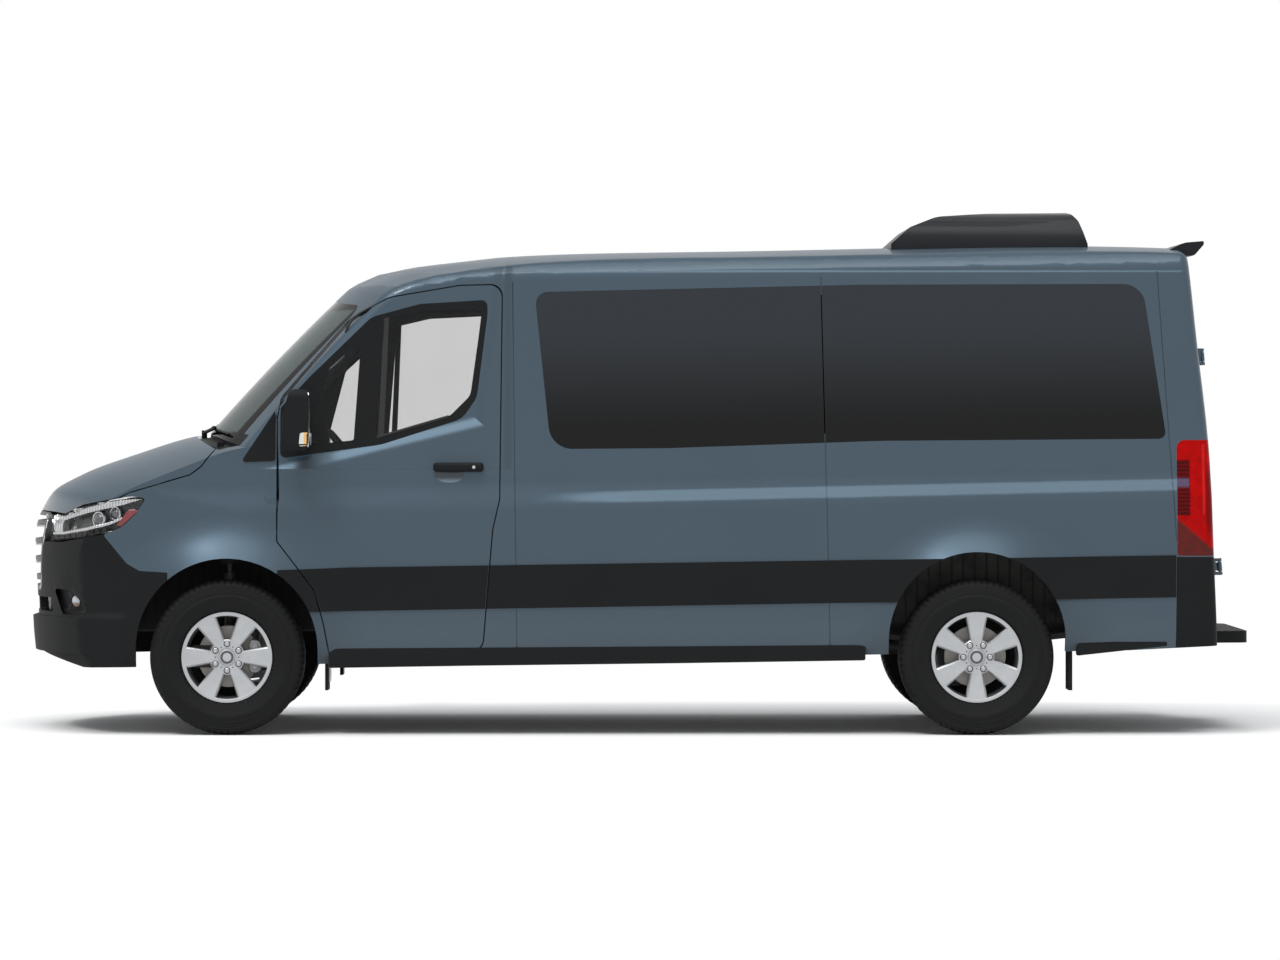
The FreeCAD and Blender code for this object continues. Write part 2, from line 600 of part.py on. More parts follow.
def hinge_barrel(z):
    """The door's half of a hinge: a barrel round the pin and a cranked arm behind the wing's skin."""
    y = -HALF + HINGE_INSET
    barrel = ring(HINGE_PIN + 5, HINGE_PIN + SEAT_GAP, (HINGE_X, y, z - 28), (HINGE_X, y, z + 28))
    arm = box(HINGE_X - 4, HINGE_X + 4, y + 8, y + 34, z - 20, z + 20)
    reach = box(HINGE_X - 4, DOOR_FRONT + 60, y + 26, y + 34, z - 20, z + 20)
    pad = box(DOOR_FRONT + 24, DOOR_FRONT + 60, y + 8, y + 34, z - 20, z + 20)
    arm = arm.cut(rod(HINGE_PIN + 4, (HINGE_X, y, z - 28), (HINGE_X, y, z + 28)))
    return barrel.multiFuse([arm, reach, pad])


HINGE_X = DOOR_FRONT - DOOR_GAP - 30
HINGE_HEIGHTS = (985.0, 1125.0)
DOOR_SWEEP = math.hypot(30, HINGE_INSET) + 5.5
for height in HINGE_HEIGHTS:
    pin_y = -HALF + HINGE_INSET
    wing = wing.cut(hinge_pocket(height))
    wing = wing.fuse(rod(HINGE_PIN, (HINGE_X, pin_y, height - 40), (HINGE_X, pin_y, height + 40)))
add("front_wings", *both(wing.removeSplitter()))

# Side panels
side_line = [(11 - 400, 1481 + 90), (11, 1481), (128, 1449), (DOOR_FRONT + 40, 1405), (DOOR_FRONT + 40, 930),
             (560, 640), (560, 200), (TAIL + 300, 200), (TAIL + 300, TOP + 300), (-389, TOP + 300)]
flank = body_shell.common(side_prism(side_line, -FAR,
                                     0)).cut(door_hole).cut(front_arches[0]).cut(rear_arches[0])
sill_cut = side_prism([(400, 200), (TAIL + 100, 200), (TAIL + 100, SILL_HEIGHT + 70),
                       (WHEELBASE, SILL_HEIGHT + 4),
                       (400, SILL_HEIGHT)], -FAR, 0)
rear_low = side_prism([(TAIL - 230, 200), (TAIL + 100, 200), (TAIL + 100, 872), (TAIL - 229, 872)],
                      -FAR, -HALF + 140).fuse(box(TAIL - 230, TAIL + 100, -FAR, 0, 200,
                                                  REAR_DOOR_FOOT - DOOR_GAP))
REAR_DOOR = [(3, REAR_DOOR_FOOT, 0), (HALF - 215, REAR_DOOR_FOOT, 45), (HALF - 225, 1300, 0),
             (HALF - 268, TOP - 165, 70),
             (3, TOP - 150, 0)]
rear_door_left = [(-y, z, r) for y, z, r in REAR_DOOR]
REAR_TOP_GAP = DOOR_GAP + 3
rear_opening = [(60, REAR_DOOR_FOOT - DOOR_GAP, 0), (-HALF + 215 - DOOR_GAP, REAR_DOOR_FOOT - DOOR_GAP, 50),
                (-HALF + 225 - DOOR_GAP, 1300, 0), (-HALF + 268 - DOOR_GAP, TOP - 165 + REAR_TOP_GAP, 75),
                (60, TOP - 150 + REAR_TOP_GAP, 0)]
tail_hole = front_prism(rear_opening, WHEELBASE + 600, TAIL + 200)
LAMP_ZONE = [(TAIL - 226, 878, 15), (TAIL + 60, 878, 0), (TAIL + 60, 1442, 0), (TAIL - 226, 1442, 40)]
tail_lamp_zone = side_prism(LAMP_ZONE, -FAR, -HALF + 175)
flank = flank.cut(sill_cut).cut(tail_hole)
rear_bumper_corner = flank.common(rear_low)
flank = flank.cut(rear_low)
tail_lamp = flank.common(tail_lamp_zone)
flank = flank.cut(tail_lamp_zone)


def tail_x(height, y):
    """Where the rear face lies at a height and a distance from the centre line."""
    for (xa, za), (xb, zb) in zip(TAIL_LINE, TAIL_LINE[1:]):
        if za <= height <= zb:
            x = xa + (xb - xa) * (height - za) / (zb - za)
    return x + TAIL_BULGE * (0.5 - (y / (HALF - 110)) ** 2)


HINGE_FOOT = TAIL_LINE[2][1]
HINGE_LEAN = (TAIL_LINE[5][0] - TAIL_LINE[2][0]) / (TAIL_LINE[5][1] - HINGE_FOOT)


def hinge_x(height):
    """Where the leaning axis of the rear doors lies at a height."""
    return tail_x(HINGE_FOOT, REAR_HINGE_Y) + REAR_HINGE_STAND + HINGE_LEAN * (height - HINGE_FOOT)


def on_axis(radius, low, high):
    """A round bar along the left rear door's axis between two heights."""
    return rod(radius, (hinge_x(low), -REAR_HINGE_Y, low), (hinge_x(high), -REAR_HINGE_Y, high))


def door_edge(height):
    """Half width of a rear door at a height."""
    (_, _, _), (ya, za, _), (yb, zb, _), (yc, zc, _) = REAR_DOOR[:4]
    if height < zb:
        return ya + (yb - ya) * (height - za) / (zb - za)
    return yb + (yc - yb) * (height - zb) / (zc - zb)


def rear_hinge(height):
    """One hinge: the pillar's bracket with its pin, and the door's strap with its barrel."""
    xs, xa, y = tail_x(height, REAR_HINGE_Y), hinge_x(height), -REAR_HINGE_Y
    plate = box(xs - 25, xs + 8, y - 62, y - 12, height - 41, height + 41)
    bracket = [plate, on_axis(HINGE_PIN, height - 41, height + 41)]
    for low in (height - 41, height + 25):
        bracket += [on_axis(12, low, low + 16), box(xs - 10, xa + 6, y - 18, y - 2, low, low + 16)]
    barrel = on_axis(12, height - 22, height + 22)
    edge = door_edge(height)
    strap = [box(xs + 5, xa + 4, y + 1, y + 10, height - 20, height + 20),
             box(xs + 5, xs + 13, y + 1, y + 80, height - 20, height + 20),
             box(xs - 20, xs + 13, -edge + 8, y + 80, height - 20, height + 20)]
    strap = barrel.multiFuse(strap).cut(on_axis(HINGE_PIN + SEAT_GAP, height - 60, height + 60))
    return bracket, strap


def window_cut(panel, outline, rim):
    """A panel with a rebate for a flush pane and a hole through it inside the rim."""
    rebate = left_region(outline).cut(flank_glass)
    return panel.cut(rebate).cut(left_region(grown(outline, -rim)))


def pane(outline):
    """A flush pane that fits the rebate."""
    return cross_section(0).common(left_region(grown(outline, -SEAT_GAP))).cut(flank_glass)


def split_line(foot, top, width):
    """A thin cut across the side, from the sill to the gutter."""
    return [(foot[0] - width / 2, foot[1] - 50), (foot[0] + width / 2, foot[1] - 50),
            (top[0] + width / 2, top[1] + 100), (top[0] - width / 2, top[1] + 100)]


for height in REAR_HINGE_HEIGHTS:
    flank = flank.multiFuse(rear_hinge(height)[0])
flank = flank.removeSplitter()
flank = window_cut(flank, SIDE_GLASS, 45)
glass_pane = pane(SIDE_GLASS)
middle_cut = left_region(split_line(SPLIT_FOOT, SPLIT_TOP, GROOVE))
glass_panes = glass_pane.cut(middle_cut)
groove_depth = cross_section(8)
grooves = [split_line(SPLIT_FOOT, SPLIT_TOP, GROOVE), split_line((1420, 340), (1394, TOP - 180), GROOVE),
           split_line(REAR_SPLIT, REAR_SPLIT_TOP, GROOVE)]
left_panel = flank
for line in grooves:
    left_panel = left_panel.cut(left_region(line).cut(groove_depth))
add("side_left", left_panel)

# Right side with the sliding door
door_zone = [(1420, 385, 40), (2947, 385, 40), (2904, TOP - 196, 60), (1396, TOP - 206, 60)]
right_flank = mirrored(flank)


def right_region(points):
    """An outline from the side, carried through the vehicle's right flank."""
    return side_prism(points, -LEFT[1], -LEFT[0])


slide_door = right_flank.common(right_region(grown(door_zone, -GROOVE))).cut(flank_lip)
slide_core = right_flank.common(right_region(grown(door_zone, -SEAT_GAP))).common(flank_lip)
add("sliding_door", slide_door.fuse(slide_core).removeSplitter())
right_panel = right_flank.cut(right_region(door_zone))
back_groove = mirrored(left_region(grooves[2]).cut(groove_depth))
add("side_right", right_panel.cut(back_groove))
right_panes = mirrored(glass_pane).cut(right_region(split_line((2947 - GROOVE, 385),
                                                               (2904 - GROOVE, TOP - 196), GROOVE)))
add("side_glass", glass_panes, right_panes)
add("tail_lamps", *both(tail_lamp))

# Front doors
door_skin = shell.common(left_region(DOOR_OUTLINE)).cut(flank_lip)
door_core = shell.common(left_region(grown(DOOR_OUTLINE, -12))).common(flank_lip)
door = joined(door_skin, door_core)
door = window_cut(door, WINDOW_OUTLINE, 30)
pin_y = -HALF + HINGE_INSET
door = door.cut(Part.makeCylinder(DOOR_SWEEP, 1200, Vector(HINGE_X, pin_y, 500)))
for height in HINGE_HEIGHTS:
    door = door.fuse(hinge_barrel(height))
door = door.removeSplitter()
trim_frame = cross_section(0).common(left_region(grown(WINDOW_OUTLINE, -SEAT_GAP))).cut(flank_glass)
panes = [cross_section(1).common(left_region(grown(line, -SEAT_GAP))).cut(flank_glass)
         for line in (QUARTER_GLASS, MAIN_GLASS)]
for line in (QUARTER_GLASS, MAIN_GLASS):
    trim_frame = trim_frame.cut(left_region(line))


def mirror_housing():
    """The door mirror: a tall rounded housing on a short arm."""
    side = [(272, 1380, 26), (408, 1392, 34), (414, 1688, 40), (322, 1690, 40), (284, 1560, 220)]
    low_y, high_y = -HALF - 230, -HALF - 30
    plan = [(260, low_y + 40, 0), (300, low_y, 55), (425, low_y, 30), (425, high_y, 20), (300, high_y, 55),
            (260, high_y - 40, 0)]
    front = [(low_y, 1370, 50), (high_y, 1370, 40), (high_y, 1700, 50), (low_y + 16, 1700, 60)]
    housing = side_prism(side, low_y, high_y).common(plan_prism(plan, 1360, 1710)).common(front_prism(front,
                                                                                                      250,
                                                                                                      430))
    arm = box(330, 400, -HALF - 60, -HALF + 50, 1425, 1500).cut(cross_section(-SEAT_GAP))
    return housing.fuse(arm)


handle_x, handle_z = 1130, 1312
handle_bar = rounded_block(handle_x - 120, handle_x + 125, -HALF - 2, -HALF + 50, handle_z - 24,
                           handle_z + 20, 16)
handle_bar = handle_bar.cut(cross_section(-SEAT_GAP))
band_zone = raked([(-600, 598), (TAIL + 200, 596), (TAIL + 200, 800), (600, 810), (200, 802), (-600, 770)])
band_layer = cross_section(-BAND_DEPTH).cut(cross_section(-SEAT_GAP))
band = band_layer.common(left_region(band_zone))
door_band = band.common(left_region(grown(DOOR_OUTLINE, -2)))
add("door_left", door)
add("door_left_glass", *panes)
add("door_left_trim", trim_frame, mirror_housing(), handle_bar, door_band)
add("door_right", mirrored(door))
add("door_right_glass", *[mirrored(p) for p in panes])
add("door_right_trim", *[mirrored(s) for s in (trim_frame, mirror_housing(), handle_bar, door_band)])

# Black bands on the body and the mud flaps
fixed_band = band.cut(left_region(grown(DOOR_OUTLINE, DOOR_GAP))).cut(front_arches[0]).cut(rear_arches[0])
mirror_foot = [(70, 1334, 12), (DOOR_FRONT - 12, 1340, 12), (DOOR_FRONT - 12, 1579, 0),
               (DOOR_FRONT - 18, 1579, 0)]
mirror_foot = band_layer.common(left_region(mirror_foot))
fixed_band = fixed_band.common(left_region([(DOOR_FRONT, 400), (TAIL - 232, 400), (TAIL - 232, 900),
                                            (DOOR_FRONT, 900)]))
FLAP_FOOT = 217.0
FLAP_INSET = 102.0


def flap(x, thick, top):
    """A mud flap behind a wheel: its upper part fits inside the flank, its lower part hangs free."""
    upper = box(x, x + thick, -HALF, -HALF + 280, 450, top).common(flank_inner)
    return upper.fuse(box(x, x + thick, -HALF + FLAP_INSET, -HALF + 280, FLAP_FOOT, 460)).removeSplitter()


flaps = [flap(478, 16, 498), flap(WHEELBASE + 452, 18, FLOOR_BOTTOM - SEAT_GAP)]
right_bands = mirrored(fixed_band)
right_bands = right_bands.cut(right_region(grown(door_zone,
                                                 GROOVE / 2)).cut(right_region(grown(door_zone,
                                                                                     -GROOVE / 2))))
add("black_trim", fixed_band, right_bands, *both(mirror_foot),
    *[solid for piece in flaps for solid in both(piece)])


# Rear doors
leaf_zone = front_prism(rear_door_left, WHEELBASE + 600, TAIL + 200)
core_zone = front_prism(grown(rear_door_left, -10), WHEELBASE + 600, TAIL + 200)
leaf = joined(shell.common(leaf_zone).cut(lip_inner), shell.common(core_zone).common(lip_inner))
REAR_WINDOW = [(-70, 1400, 50), (-HALF + 275, 1400, 50), (-HALF + 305, TOP - 245, 70), (-70, TOP - 235, 50)]
leaf = leaf.cut(front_prism(REAR_WINDOW, WHEELBASE + 600, TAIL + 200).cut(glass_inner))
leaf = leaf.cut(front_prism(grown(REAR_WINDOW, -30), WHEELBASE + 600, TAIL + 200))
rear_pane = outer.common(front_prism(grown(REAR_WINDOW, -SEAT_GAP), WHEELBASE + 600,
                                     TAIL + 200)).cut(glass_inner)
for height in REAR_HINGE_HEIGHTS:
    leaf = leaf.fuse(rear_hinge(height)[1])
leaf = leaf.removeSplitter()
add("rear_door_left", leaf)
add("rear_door_left_glass", rear_pane)
add("rear_door_right", mirrored(leaf))
add("rear_door_right_glass", mirrored(rear_pane))

# Rear bumper and step
step_end = TAIL + STEP_REACH
STEP_TOP = 493.0
RAIL_END = TAIL - 150
tread = plan_prism([(TAIL - 60, -560), (step_end, -520, 60), (step_end, 520, 60), (TAIL - 60, 560)],
                   STEP_TOP - 58, STEP_TOP)
arms = [box(TAIL - 160, TAIL + 60, y - 40, y + 40, STEP_TOP - 50, STEP_TOP - 12) for y in (-400, 400)]
sill = shell.common(box(TAIL - 200, TAIL + 100, -HALF + 400, HALF - 400, 440, 634))
bar = box(RAIL_END + SEAT_GAP, TAIL - 60, -HALF + 380, HALF - 380, STEP_TOP - 50, STEP_TOP + 20)
add("rear_bumper", joined(rear_bumper_corner, mirrored(rear_bumper_corner), sill, bar, *arms).fuse(tread))


def turned(half):
    """A solid turned round the Y axis from an outline of (y, radius) points."""
    points = [Vector(0, y, radius) for y, radius in half]
    face = Part.Face(Part.makePolygon(points + points[:1]))
    return face.revolve(ORIGIN, Y_AXIS, 360)


def tyre():
    """One tyre standing at the front axle's origin, turned round the Y axis."""
    r, w, bead = TYRE_RADIUS, TYRE_WIDTH / 2, RIM_RADIUS - 8
    half = [(w - 34, bead), (w - 32, bead + 9), (w, bead + 70), (w - 6, r - 36), (w - 34, r)]
    return turned(half + [(-y, radius) for y, radius in half[::-1]])


def rim(turn):
    """Alloy rim with flat spokes, a hub with bolts, and the brake disc on its inner side.

    The wheel's outer side faces -Y. turn is the angle of the first spoke from straight up.
    """
    w = RIM_WIDTH / 2
    lip, barrel, bead = RIM_RADIUS, RIM_RADIUS - 18, RIM_RADIUS - 8 - SEAT_GAP
    outline = [(-w, lip), (-w + 6, lip), (-w + 8, bead), (w - 8, bead), (w - 6, lip), (w, lip), (w, lip - 14),
               (w - 14, barrel - 6), (20, barrel - 12), (-w + 22, barrel - 6), (-w, lip - 12)]
    body = turned(outline)
    parts = []
    front = -w + 20
    for i in range(SPOKES):
        wide, narrow = 42.0, 24.0
        pts = [(-narrow, 60), (narrow, 60), (wide, barrel - 8), (-wide, barrel - 8)]
        arm = Part.Face(Part.makePolygon([Vector(x, 0, z) for x, z in pts + pts[:1]])).extrude(Vector(0, 26,
                                                                                                      0))
        arm.translate(Vector(0, front, 0))
        arm.rotate(ORIGIN, Y_AXIS, turn + 360.0 / SPOKES * i)
        parts.append(arm)
    hub = rod(86, (0, front + 6, 0), (0, 30, 0))
    cap = rod(34, (0, front - 4, 0), (0, front + 6, 0))
    parts += [hub, cap]
    for i in range(6):
        angle = math.radians(turn + 30 + 60 * i)
        x, z = LUG_CIRCLE / 2 * math.sin(angle), LUG_CIRCLE / 2 * math.cos(angle)
        parts.append(rod(10, (x, front - 6, z), (x, front + 8, z)))
    disc = ring(DISC_RADIUS, 60, (0, 34, 0), (0, 60, 0)).fuse(rod(80, (0, 20, 0), (0, 60, 0)))
    parts.append(disc)
    ring_cut = rod(barrel - 4, (0, -w, 0), (0, w, 0))
    inside = parts[0].multiFuse(parts[1:]).common(ring_cut.fuse(rod(barrel - 4, (0, -w - 10, 0), (0, -w, 0))))
    whole = body.fuse(inside)
    return whole.cut(rod(SPINDLE_RADIUS + SEAT_GAP, (0, -10, 0), (0, 90, 0))).removeSplitter()


left_tyre = tyre()
for end, x, turn in (("front", 0.0, 30.0), ("rear", WHEELBASE, 0.0)):
    left_rim = rim(turn)
    for side in ("left", "right"):
        shift = Vector(x, -WHEEL_Y, TYRE_RADIUS)
        rubber, alloy = left_tyre.copy(), left_rim.copy()
        rubber.translate(shift)
        alloy.translate(shift)
        if side == "right":
            rubber, alloy = mirrored(rubber), mirrored(alloy)
        add("tyre_" + end + "_" + side, rubber)
        add("rim_" + end + "_" + side, alloy)

# Knuckles: strut, carrier, stub axle, caliper and steering arm
LOWER_JOINT = 300.0
STRUT_TOP = TYRE_RADIUS + LINER_RADIUS - 20
hub_y = -WHEEL_Y
strut = rod(26, (0, -STEER_AXIS, LOWER_JOINT), (0, -STEER_AXIS, STRUT_TOP - 60)).fuse(
    rod(12, (0, -STEER_AXIS, LOWER_JOINT - 40), (0, -STEER_AXIS, STRUT_TOP + 10)))
carrier = box(-45, 45, -STEER_AXIS - 60, -STEER_AXIS, TYRE_RADIUS - 60, TYRE_RADIUS + 60)
stub = rod(SPINDLE_RADIUS, (0, -STEER_AXIS - 40, TYRE_RADIUS), (0, hub_y - 5, TYRE_RADIUS))
bridge = box(-190, -60, hub_y + 24, hub_y + 70, TYRE_RADIUS - 55, TYRE_RADIUS + 55)
bridge = bridge.cut(rod(DISC_RADIUS + 5, (0, hub_y + 29, TYRE_RADIUS), (0, hub_y + 65, TYRE_RADIUS)))
bridge = bridge.common(rod(RIM_RADIUS - 40, (0, hub_y, TYRE_RADIUS), (0, hub_y + 90, TYRE_RADIUS)))
bridge = bridge.cut(rod(100, (0, hub_y, TYRE_RADIUS), (0, hub_y + 65, TYRE_RADIUS)))
caliper_arm = box(-150, -20, hub_y + 66, -STEER_AXIS, TYRE_RADIUS - 25, TYRE_RADIUS + 25)
steer_arm = box(20, 160, -STEER_AXIS - 10, -STEER_AXIS + 20, TYRE_RADIUS - 60, TYRE_RADIUS - 40)
knuckle = joined(strut, carrier, stub, bridge, caliper_arm, steer_arm)
add("knuckle_left", knuckle)
add("knuckle_right", mirrored(knuckle))

# Front suspension: cross member, lower arms and a flat leaf spring across the vehicle
cross = box(-70, 70, -RAIL_SPACING / 2 - 20, RAIL_SPACING / 2 + 20, LOWER_JOINT + 10,
            FLOOR_BOTTOM - RAIL_HEIGHT)
lower_arm = plan_prism([(-150, -RAIL_SPACING / 2 + 60, 20), (-30, -STEER_AXIS - 24, 20),
                        (30, -STEER_AXIS - 24, 20), (150, -RAIL_SPACING / 2 + 60, 20)],
                       LOWER_JOINT - 42, LOWER_JOINT - 12)
lower_arm = lower_arm.cut(rod(12 + SEAT_GAP, (0, -STEER_AXIS, 0), (0, -STEER_AXIS, 500)))
foot = box(-60, 60, -RAIL_SPACING / 2 + 20, -RAIL_SPACING / 2 + 100, LOWER_JOINT - 42, LOWER_JOINT + 10)
add("front_suspension", joined(cross, lower_arm, foot, mirrored(lower_arm), mirrored(foot)))

# Wheelhouse liners
front_liner = wheel_space(0, LINER_RADIUS, -HALF + 60, -500, TYRE_RADIUS + 20).cut(
    wheel_space(0, LINER_RADIUS - 6, -HALF + 50, -506, TYRE_RADIUS + 20))
front_liner = front_liner.common(inner).common(box(-800, 800, -HALF, -400, TYRE_RADIUS + 120, 1200))
mount = rod(60, (0, -STEER_AXIS, STRUT_TOP - 12), (0, -STEER_AXIS, STRUT_TOP + 37)).common(
    wheel_space(0, LINER_RADIUS - 1, -HALF + 60, -500, TYRE_RADIUS + 20))
front_liner = front_liner.fuse(mount).cut(rod(12 + SEAT_GAP, (0, -STEER_AXIS, 700),
                                              (0, -STEER_AXIS, STRUT_TOP + 12)))
rear_outer, rear_inner = REAR_ARCH + 12, REAR_ARCH + 6
rear_liner = wheel_space(WHEELBASE, rear_outer, -HALF + 30, -680, TYRE_RADIUS + 84).cut(
    wheel_space(WHEELBASE, rear_inner, -HALF + 20, -686, TYRE_RADIUS + 84)).common(flank_inner)
rear_liner = rear_liner.common(box(WHEELBASE - 600, WHEELBASE + 600, -HALF, -600, FLOOR_BOTTOM - 60, 1200))
add("wheelhouses", *both(front_liner), *both(rear_liner))

# Floor with the bulkhead
floor = box(300, TAIL - 110, -HALF, HALF, FLOOR_BOTTOM, FLOOR_TOP)
bulk = side_prism([(330, FLOOR_BOTTOM), (330, FLOOR_TOP), (170, 860), (170, 1385), (140, 1385), (140, 850),
                   (300, FLOOR_BOTTOM)], -HALF, HALF)
floor = floor.fuse(bulk).common(flank_inner)
for side in (-1, 1):
    front_room = wheel_space(0, LINER_RADIUS + SEAT_GAP, min(side * 500, side * FAR),
                             max(side * 500, side * FAR),
                             TYRE_RADIUS + 20)
    rear_room = wheel_space(WHEELBASE, rear_outer + SEAT_GAP, min(side * 680, side * FAR),
                            max(side * 680, side * FAR),
                            TYRE_RADIUS + 84)
    floor = floor.cut(front_room).cut(rear_room)
door_space = left_region(grown(DOOR_OUTLINE, DOOR_GAP + 4)).common(box(0, 1500, -FAR, -HALF + WALL + 22, 300,
                                                                       TOP))
add("floor", floor.cut(door_space).cut(mirrored(door_space)).removeSplitter())

# Chassis frame
rail_y = RAIL_SPACING / 2
rail = box(NOSE + 180, RAIL_END, -rail_y - RAIL_WIDTH / 2, -rail_y + RAIL_WIDTH / 2,
           FLOOR_BOTTOM - RAIL_HEIGHT, FLOOR_BOTTOM)
members = [box(x, x + 80, -rail_y, rail_y, FLOOR_BOTTOM - 90, FLOOR_BOTTOM - 20)
           for x in (NOSE + 190, 620, 1500, WHEELBASE - 900, WHEELBASE + 600, TAIL - 240)]
add("chassis", joined(rail, mirrored(rail), *members))

# Engine: one plain block between the rails, on its cross member
add("engine", box(-620, 60, -260, 260, FLOOR_BOTTOM - RAIL_HEIGHT + SEAT_GAP, 1130))

# Rear axle with leaf springs
axle = rod(45, (WHEELBASE, -WHEEL_Y + 92, TYRE_RADIUS), (WHEELBASE, WHEEL_Y - 92, TYRE_RADIUS))
stubs = [rod(SPINDLE_RADIUS, (WHEELBASE, s * (WHEEL_Y - 95), TYRE_RADIUS),
             (WHEELBASE, s * (WHEEL_Y + 5), TYRE_RADIUS))
         for s in (-1, 1)]
pot = Part.makeSphere(150, Vector(WHEELBASE, 0, TYRE_RADIUS)).common(
    box(WHEELBASE - 140, WHEELBASE + 120, -150, 150, TYRE_RADIUS - 130, TYRE_RADIUS + 110))
shaft = rod(38, (520, 0, FLOOR_BOTTOM - 130), (WHEELBASE - 120, 0, TYRE_RADIUS + 10))


def leaf_spring(y):
    """A curved leaf from its front eye over the axle to its shackle."""
    low, high, reach = TYRE_RADIUS + 46, FLOOR_BOTTOM - 75, 640
    top = Part.Arc(Vector(WHEELBASE - reach, y, high), Vector(WHEELBASE, y, low + 24),
                   Vector(WHEELBASE + reach, y, high))
    foot = Part.Arc(Vector(WHEELBASE - reach, y, high - 16), Vector(WHEELBASE, y, low - 8),
                    Vector(WHEELBASE + reach, y, high - 16))
    ends = [Part.makeLine(Vector(WHEELBASE + s * reach, y, high), Vector(WHEELBASE + s * reach, y, high - 16))
            for s in (-1, 1)]
    leaf_face = Part.Face(Part.Wire(Part.__sortEdges__([top.toShape(), foot.toShape()] + ends)))
    spring = leaf_face.extrude(Vector(0, 70, 0))
    pads = [box(WHEELBASE + s * reach - 30, WHEELBASE + s * reach + 30, y, y + 70, high - 20, FLOOR_BOTTOM)
            for s in (-1, 1)]
    return spring.multiFuse(pads)


springs = leaf_spring(-rail_y - 120).fuse(mirrored(leaf_spring(-rail_y - 120)))
add("rear_axle", joined(axle, pot, springs, shaft, *stubs))

# Fuel tank and exhaust
tank = rounded_block(1100, 1700, -800, -520, 380, FLOOR_BOTTOM - 2, 40)
straps = [box(x, x + 40, -700, -600, FLOOR_BOTTOM - 4, FLOOR_BOTTOM) for x in (1200, 1560)]
add("fuel_tank", tank.multiFuse(straps))
muffler = rounded_block(2100, 2740, 300, 620, 340, 482, 60)
pipe = rod(32, (420, 330, 440), (2110, 400, 425)).fuse(rod(30, (2730, 560, 425), (3130, 560, 415)))
hanger = box(2300, 2340, 340, 380, 470, FLOOR_BOTTOM)
add("exhaust", joined(muffler, pipe, hanger))

# Roof air unit and rear roof lip
unit_side = [(WHEELBASE - 395, TOP - 60, 0), (WHEELBASE - 395, TOP + 2, 10), (WHEELBASE - 300, TOP + 86, 70),
             (WHEELBASE - 165, TOP + 140, 200), (WHEELBASE + 100, TOP + 158, 600),
             (WHEELBASE + 500, TOP + 163, 40),
             (WHEELBASE + 540, TOP + 118, 60), (WHEELBASE + 582, TOP, 20), (WHEELBASE + 582, TOP - 60, 0)]
unit_front = [(-520, TOP - 100, 0), (-500, TOP + 60, 0), (-420, TOP + 150, 110), (0, TOP + 190, 900),
              (420, TOP + 150, 110), (500, TOP + 60, 0), (520, TOP - 100, 0)]
unit_body = side_prism(unit_side, -600, 600).common(front_prism(unit_front, WHEELBASE - 700, WHEELBASE + 900))
add("roof_unit", unit_body.cut(outer))
lip_side = [(TAIL - 236, TOP - 62, 0), (TAIL - 236, TOP - 36, 0), (TAIL - 152, TOP + 4, 90),
            (TAIL - 54, TOP + 12, 8),
            (TAIL - 58, TOP - 8, 8), (TAIL - 105, TOP - 62, 30)]
add("roof_lip", side_prism(lip_side, -640, 640).cut(outer))

# Dashboard with the steering column, and the steering wheel
dash = side_prism([(170.3, 1000, 0), (420, 960, 60), (520, 1080, 80), (470, 1290, 60), (330, 1370, 60),
                   (170.3, 1384, 0)],
                  -HALF + 110, HALF - 110)
WHEEL_CENTRE = Vector(600, -480, 1330)
COLUMN_TILT = math.radians(38)
column_dir = Vector(math.cos(COLUMN_TILT), 0, math.sin(COLUMN_TILT))
column_start, column_end = WHEEL_CENTRE - column_dir * 300, WHEEL_CENTRE - column_dir * 40
column = Part.makeCylinder(34, (column_end - column_start).Length, column_start, column_dir)
add("dashboard", dash.fuse(column))
grip = [Vector(190 + 15 * math.cos(math.radians(a)), 0, 15 * math.sin(math.radians(a))) for a in range(0, 360,
                                                                                                       45)]
steer_rim = Part.Face(Part.makePolygon(grip + grip[:1])).revolve(ORIGIN, Vector(0, 0, 1), 360)
steer_rim.Placement = FreeCAD.Placement(WHEEL_CENTRE, FreeCAD.Rotation(Vector(0, 0, 1), column_dir))
steer_hub = Part.makeCylinder(55, 36, WHEEL_CENTRE - column_dir * (40 - SEAT_GAP), column_dir)
cross_dir = Vector(0, 1, 0)
up_dir = column_dir.cross(cross_dir)
bars = []
for direction in (cross_dir, cross_dir * -1, up_dir * -1):
    start = WHEEL_CENTRE - column_dir * 20
    bars.append(Part.makeCylinder(12, 192, start, direction * 190 + column_dir * 15))
add("steering_wheel", joined(steer_rim, steer_hub, *bars))

# Seats: frames with soft cushions and backs on them
SEAT_TOP = FLOOR_TOP + 320
pads, frames = [], []


def soft_block(x0, x1, y0, y1, z0, z1):
    """A padded block with its corners cut off in side view."""
    cut = 30
    outline = [(x0 + cut, z0), (x1 - cut, z0), (x1, z0 + cut), (x1, z1 - cut),
               (x1 - cut, z1), (x0 + cut, z1), (x0, z1 - cut), (x0, z0 + cut)]
    return side_prism(outline, y0, y1)


